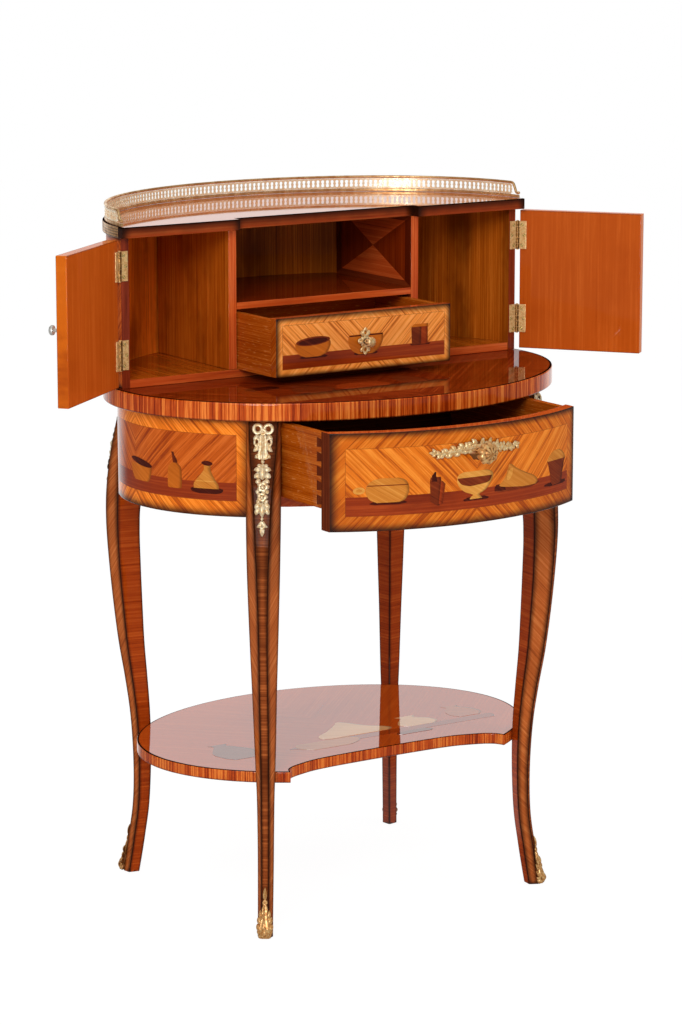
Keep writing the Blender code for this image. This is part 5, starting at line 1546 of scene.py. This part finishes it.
def screwSheet(chart, turnBy):
    # a low round head in its countersink: the height falls to nothing along a slot and round a rim, both
    # painted dark as shade
    r = np.array([0, 0.25, 0.5, 0.75, 0.95, 1.0, 1.2]) * hinge["head"]
    turn = np.linspace(0, 2 * math.pi, 24, endpoint=False) + turnBy
    across, rise = r[:, None] * np.cos(turn), r[:, None] * np.sin(turn)
    away = np.abs(across * math.sin(turnBy * 2) - rise * math.cos(turnBy * 2))
    dome = hinge["rim"] + hinge["dome"] * np.sqrt(np.clip(1 - (r[:, None] / hinge["head"]) ** 2, 0, 1))
    lift = np.where(away < hinge["slotHalf"], hinge["slotFloor"], dome)
    sheet = gridSheet(chart(across, rise, lift), np.zeros((len(r), 25, 2)), 0, True)
    # painted shade: the slot and the rim take the dark metal
    sunk = (lift[:-1] < hinge["rim"]) | (r[:-1, None] > 0.97 * hinge["head"])
    sheet["slot"] = np.where(sunk, 1, 3).ravel()
    return sheet


def knuckleForm(length):
    # (radius, lift) round a tube's wall, with its outer edges eased
    r, bore, eased = hinge["knuckle"], hinge["bore"], hinge["eased"]
    return [(bore, 0), (r - eased, 0), (r, eased), (r, length / 2), (r, length - eased), (r - eased, length),
            (bore, length), (bore, 0)]


def pinForm(length):
    # (radius, lift) along the pin, from one end to the other
    low = [(r, -h) for r, h in hinge["pinEnd"]]
    high = [(r, length + h) for r, h in hinge["pinEnd"][::-1]]
    return low + [(low[-1][0], length / 2)] + high


hingeMetals = [hingeBrass, slotShade, hingeBarrel, screwBrass]
for word, side in sideSigns.items():
    doorBody = word + "_door"
    pinX, pinY, _ = doorPins[doorBody]
    leaves = (("carcass_leaf", "table", 1, (0, 2, 4)), ("door_leaf", doorBody, -1, (1, 3)))
    for level, (low, high) in hinge["levels"].items():
        step = (high - low) / hinge["knuckles"]
        place = word + "_" + level
        for kind, body, sign, keeps in leaves:
            sheets = plankSheets((pinX, pinX - side * hinge["leaf"]), pinY + sign * np.array(hinge["plate"]),
                                 (low, high), hinge["plateRound"], (0, 0, 0), 2)
            form = knuckleForm(step * perMetre - 2 * hinge["gap"])
            for k in keeps:
                axle = axleChart(pinX, pinY, low + k * step + hinge["gap"] * mm)
                sheets.append(blossomSheet(axle, (0, 0, 0), form, around=24))
                sheets[-1]["slot"] = 2
            for number, (reach, share) in enumerate(hinge["screws"]):
                face = pinY + sign * hinge["plate"][0]
                head = frontChart(pinX - side * reach, face, low + share * (high - low), -sign)
                sheets.append(screwSheet(head, 0.4 + 0.7 * number))
            makePiece("hinge" + pieceName(kind) + pieceName(place), sheets, hingeMetals, body,
                      ["hinge_" + kind + "_" + place], sharp=30)
        form = pinForm((high - low) * perMetre)
        pinSheet = blossomSheet(axleChart(pinX, pinY, low), (0, 0, 0), form, around=20)
        makePiece("hingePin" + pieceName(place), [pinSheet], [hingeBrass], "table",
                  ["hinge_pin_" + place])
print("hinges fitted")

# Marquetry: thin inlaid pieces on the fronts and boards, each a strip between two side lines, or a disc
inlay = {
    "thick": 0.0003, "shelfReflectionWash": 0.7,
    "tones": {"tan": ((216, 144, 62), (198, 120, 42), (158, 84, 20)),
              "pale": ((230, 166, 82), (214, 144, 60), (178, 104, 34)),
              "amber": ((206, 112, 32), (190, 96, 20), (154, 70, 10)),
              "red": ((170, 68, 24), (146, 50, 12), (108, 32, 6)),
              "brown": ((138, 58, 24), (112, 40, 12), (80, 24, 6)),
              "dark": ((92, 30, 12), (66, 16, 5), (40, 8, 2)),
              "slate": ((122, 96, 84), (98, 72, 62), (70, 48, 40))},
    # painted sheen: the pale tone as it shows on the shelf, lighter than elsewhere
    "sheenPale": ((246, 192, 134), (238, 176, 114), (214, 144, 86)),
}
inlayTones = {name: [tone(*row) for row in rows] for name, rows in inlay["tones"].items()}
inlayNames = list(inlayTones)
inlayMaterials = [inlayMaterial("inlay" + name.title(), *inlayTones[name]) for name in inlayNames]
# painted reflection: on the shelf the tones are drawn towards the veneer round them, as the lacquer's
# reflection washes them, and the pale one is lightened as a painted sheen
shelfTone = np.array(woods["shelf"]["middle"]) * (1 - inlay["shelfReflectionWash"])
shelfTones = {name: [tuple(np.array(row) * inlay["shelfReflectionWash"] + shelfTone) for row in inlayTones[name]]
              for name in inlayNames}
shelfTones["pale"] = [tone(*row) for row in inlay["sheenPale"]]
shelfMaterials = [inlayMaterial("shelf" + name.title(), *shelfTones[name], 1.0, undertier["coatIor"])
                  for name in inlayNames]


def stripInlay(surface, wood, lift, rows, smooth=True):
    # rows of (height, left, right) in millimetres: straight across between the two lines, smooth along them
    rows = np.array(rows, float) * mm
    line = smoothLine(rows, 6 * len(rows)) if smooth else rows
    u = line[:, 1:2] + (line[:, 2:3] - line[:, 1:2]) * np.linspace(0, 1, 9)
    v = np.broadcast_to(line[:, :1], u.shape)
    points = surface(u, v, np.full(u.shape, lift * mm))
    return gridSheet(points, np.stack([u, v], -1), inlayNames.index(wood), False, line[:, 2:3] - u)


def discInlay(surface, wood, lift, centre, half, tilt):
    # an oval turned by its tilt
    turns = np.linspace(0, 2 * math.pi, 28, endpoint=False)
    r, turn = np.meshgrid(np.linspace(0.001, 1, 4), turns, indexing="ij")
    c, s = math.cos(math.radians(tilt)), math.sin(math.radians(tilt))
    a, b = half[0] * r * np.cos(turn), half[1] * r * np.sin(turn)
    u, v = (centre[0] + a * c - b * s) * mm, (centre[1] + a * s + b * c) * mm
    uv = np.stack([u, v], -1)
    points = surface(u, v, np.full(u.shape, lift * mm))
    farFromEdge = np.full(u.shape, 0.02)
    return gridSheet(points, np.concatenate([uv, uv[:, :1]], 1), inlayNames.index(wood), True, farFromEdge)


def layInlay(name, design, surface, body, materials=inlayMaterials):
    # each row of a design has its wood and its lift; a disc then has its centre, half sizes and tilt, and a
    # strip its lines and whether they are smooth
    sheets = [(discInlay if len(row) == 5 else stripInlay)(surface, *row) for row in design]
    makePiece(name, sheets, materials, body, shell=inlay["thick"])


def levelSurface(z):
    # a level face at a height
    return lambda u, v, lift: np.stack([u, v, z + lift], -1)


def smallSurface(u, v, lift):
    # the small drawer's face, about its middle
    return np.stack([u, smallDrawer["y"][0] - lift, sum(smallDrawer["z"]) / 2 + v], -1)


sideDesign = [
    ("amber", 0.12, [(-31, 0, 29), (-28, -4, 33), (-20, -9, 36), (-12, -11, 37), (-8, -10, 36)]),
    ("dark", 0.2, (14, -5), (24.5, 4.6), -9),
    ("amber", 0.12, [(-33, 70, 88), (-30, 68, 91), (-14, 68, 91), (-4, 69, 90), (0, 73, 86), (3, 76, 83)]),
    ("brown", 0.2, [(2, 77, 84), (7, 76, 83), (13, 75, 79), (17, 74, 78)]),
    ("dark", 0.12, [(-37, 118, 142), (-35, 108, 150), (-31, 105, 153), (-29, 110, 148)]),
    ("tan", 0.2, [(-30, 110, 147), (-24, 110, 146), (-18, 114, 142), (-11, 120, 138), (-4, 125, 135),
        (2, 125, 135)]),
    ("dark", 0.3, (130, 5), (8, 3.2), -4),
    ("pale", 0.3, [(-20.6, 113, 143), (-19, 114, 142)], False),
]
drawerDesign = [
    ("dark", 0.12, [(-31, -152, -118), (-29, -158, -106), (-26, -150, -112)]),
    ("tan", 0.2, [(-28, -148, -116), (-24, -157, -108), (-14, -163, -103), (-4, -161, -104),
        (2, -154, -109), (5, -144, -118)]),
    ("brown", 0.3, [(-5.4, -161, -104), (-4.2, -161, -104)], False),
    ("pale", 0.2, (-172, -11), (8.2, 4.8), 4),
    ("tan", 0.3, (-172, -11), (4.2, 2.2), 4),
    ("brown", 0.2, [(-37, -62, -59), (-31, -72, -57), (-4, -73, -56), (2, -72, -57)], False),
    ("red", 0.3, [(-35, -60, -54), (-8, -57, -50), (-4, -57, -54)], False),
    ("dark", 0.3, [(-4, -70, -62), (4, -70, -64), (9, -66, -64)], False),
    ("dark", 0.12, [(-35, -20, 17), (-33, -22, 20), (-30, -14, 12)]),
    ("pale", 0.2, [(-33, -12, 9), (-30, -10, 6), (-27, -7, 4), (-22, -20, 14), (-14, -29, 22),
        (-5, -32, 27), (2, -29, 25), (5, -20, 16)]),
    ("brown", 0.3, [(-15, -12, -8), (-12, -24, 18), (-6, -30, 24), (-3, -31, 25)]),
    ("brown", 0.12, [(-29, 36, 98), (-26, 34, 112), (-23, 40, 118)]),
    ("dark", 0.25, [(-27, 30, 50), (-22, 30, 48), (-18, 33, 46)]),
    ("tan", 0.3, [(-26, 82, 110), (-21, 40, 113), (-14, 45, 106), (-7, 50, 88), (1, 53, 70), (8, 56, 60)]),
    ("pale", 0.4, (57, -6), (9, 4), 62),
    ("dark", 0.12, [(-35, 142, 178), (-33, 128, 184), (-30, 136, 182)]),
    ("brown", 0.2, [(-34, 149, 169), (-29, 145, 173), (-17, 142, 176), (-5, 138, 180), (1, 135, 184)]),
    ("tan", 0.3, [(0, 136, 183), (6, 139, 180), (11, 146, 173), (14, 154, 165)]),
]
smallDesign = [
    ("dark", 0.12, [(-18, -104, -66), (-16, -108, -62), (-13, -100, -72)]),
    ("amber", 0.2, [(-16, -98, -74), (-12, -108, -64), (-4, -114, -58), (3, -115, -57), (7, -112, -60)]),
    ("brown", 0.3, (-86, 6), (28, 6.0), 3),
    ("dark", 0.4, (-86, 5.6), (24, 4.2), 3),
    ("dark", 0.12, [(-20, -14, 18), (-18, -18, 22), (-15, -12, 16)]),
    ("amber", 0.2, [(-19, -10, 14), (-13, -21, 24), (-3, -27, 30), (6, -27, 31), (9, -26, 30)]),
    ("dark", 0.3, [(6.4, -26, 30), (8.2, -26, 30)], False),
    ("dark", 0.12, [(-14, 80, 110), (-12, 76, 112)], False),
    ("brown", 0.2, [(-13, 80, 96), (12, 79, 96)], False),
    ("red", 0.2, [(-13, 96, 107), (12, 96, 107)], False),
    ("amber", 0.3, [(12, 79, 107), (16, 83, 108)], False),
]
shelfDesign = [
    ("red", 0.12, [(-84, -110, 232), (-78, -120, 236), (-70, -96, 238), (-64, -60, 232)]),
    ("slate", 0.2, [(-84, -212, -176), (-70, -222, -164), (-45, -226, -162), (-24, -214, -174),
        (-10, -205, -184), (-2, -210, -178)]),
    ("tan", 0.2, [(-100, -92, -30), (-90, -104, -10), (-76, -108, 0), (-64, -100, -8)]),
    ("pale", 0.3, [(-62, -40, 60), (-54, -52, 70), (-40, -46, 62), (-26, -24, 46), (0, 6, 30),
        (10, 14, 22)]),
    ("pale", 0.2, [(-66, 96, 138), (-54, 84, 150), (-38, 92, 146), (-24, 106, 132), (-14, 102, 136)]),
    ("amber", 0.2, [(-60, 188, 222), (-46, 180, 234), (-26, 184, 232), (-8, 198, 220), (0, 194, 224)]),
    ("dark", 0.3, [(-98, 60, 110), (-92, 54, 116), (-84, 60, 108)]),
]
topDesign = [
    ("dark", 0.12, [(-172, -120, 60), (-166, -150, 84), (-158, -160, 90), (-152, -140, 70)]),
    ("brown", 0.2, [(-156, -132, -96), (-140, -146, -84), (-118, -140, -88), (-104, -122, -104),
        (-96, -128, -98)]),
    ("red", 0.2, [(-154, -66, 0), (-140, -78, 10), (-124, -72, 4), (-114, -56, -10)]),
    ("brown", 0.2, [(-156, 30, 62), (-138, 24, 70), (-112, 30, 64), (-96, 40, 54)]),
    ("dark", 0.2, [(-100, -190, -150), (-90, -198, -144), (-78, -186, -152)]),
]
layInlay("leftPanelStillLife", sideDesign, friezeSurface(180), "table")
layInlay("rightPanelStillLife", sideDesign, friezeSurface(0), "table")
drawerSurface = friezeSurface(270, sum(friezeDrawer["z"]) / 2)
layInlay("drawerStillLife", drawerDesign, drawerSurface, "frieze_drawer")
layInlay("smallDrawerStillLife", smallDesign, smallSurface, "small_drawer")
layInlay("shelfStillLife", shelfDesign, levelSurface(undertier["z"][1]), "table",
         shelfMaterials)
layInlay("topStillLife", topDesign, levelSurface(ovalTop["z"][1]), "table")

# Dovetails at the front of the frieze drawer's sides
dovetail = {"x": 0.2007, "lift": 0.00012, "front": -0.1672, "depth": 0.0105, "half": (0.0052, 0.0066),
            "levels": np.linspace(0.629, 0.707, 5), "thick": 0.0003}
share = np.linspace(0, 1, 4)
y = dovetail["front"] + dovetail["depth"] * share
half = np.interp(share, (0, 1), dovetail["half"])
for word, side in sideSigns.items():
    x = np.full(len(share), side * (dovetail["x"] + dovetail["lift"]))
    sheets = []
    for z in dovetail["levels"]:
        corners = np.stack([np.stack([x, y, z + way * half], -1) for way in (-side, side)], 1)
        sheets.append(gridSheet(corners, corners[..., 1:], 0))
    makePiece("dovetails" + word.title(), sheets, [darkEdge], "frieze_drawer",
              shell=dovetail["thick"])
print("marquetry laid")

# CAD nodes that stay take a finish of their own
finishes = {
    oakLevel: ["runner_left", "runner_right", "frieze_drawer_side_left", "frieze_drawer_side_right",
               "small_drawer_side_left", "small_drawer_side_right"],
    oakBack: ["small_drawer_back", "small_drawer_bottom"],
    darkInside: ["frieze_drawer_back", "frieze_drawer_bottom"],
    carcassLevel: ["bearer_rail"],
}
for material, names in finishes.items():
    for name in names:
        mesh = nodes[name].data
        mesh.materials.clear()
        mesh.materials.append(material)
print("finishes given")
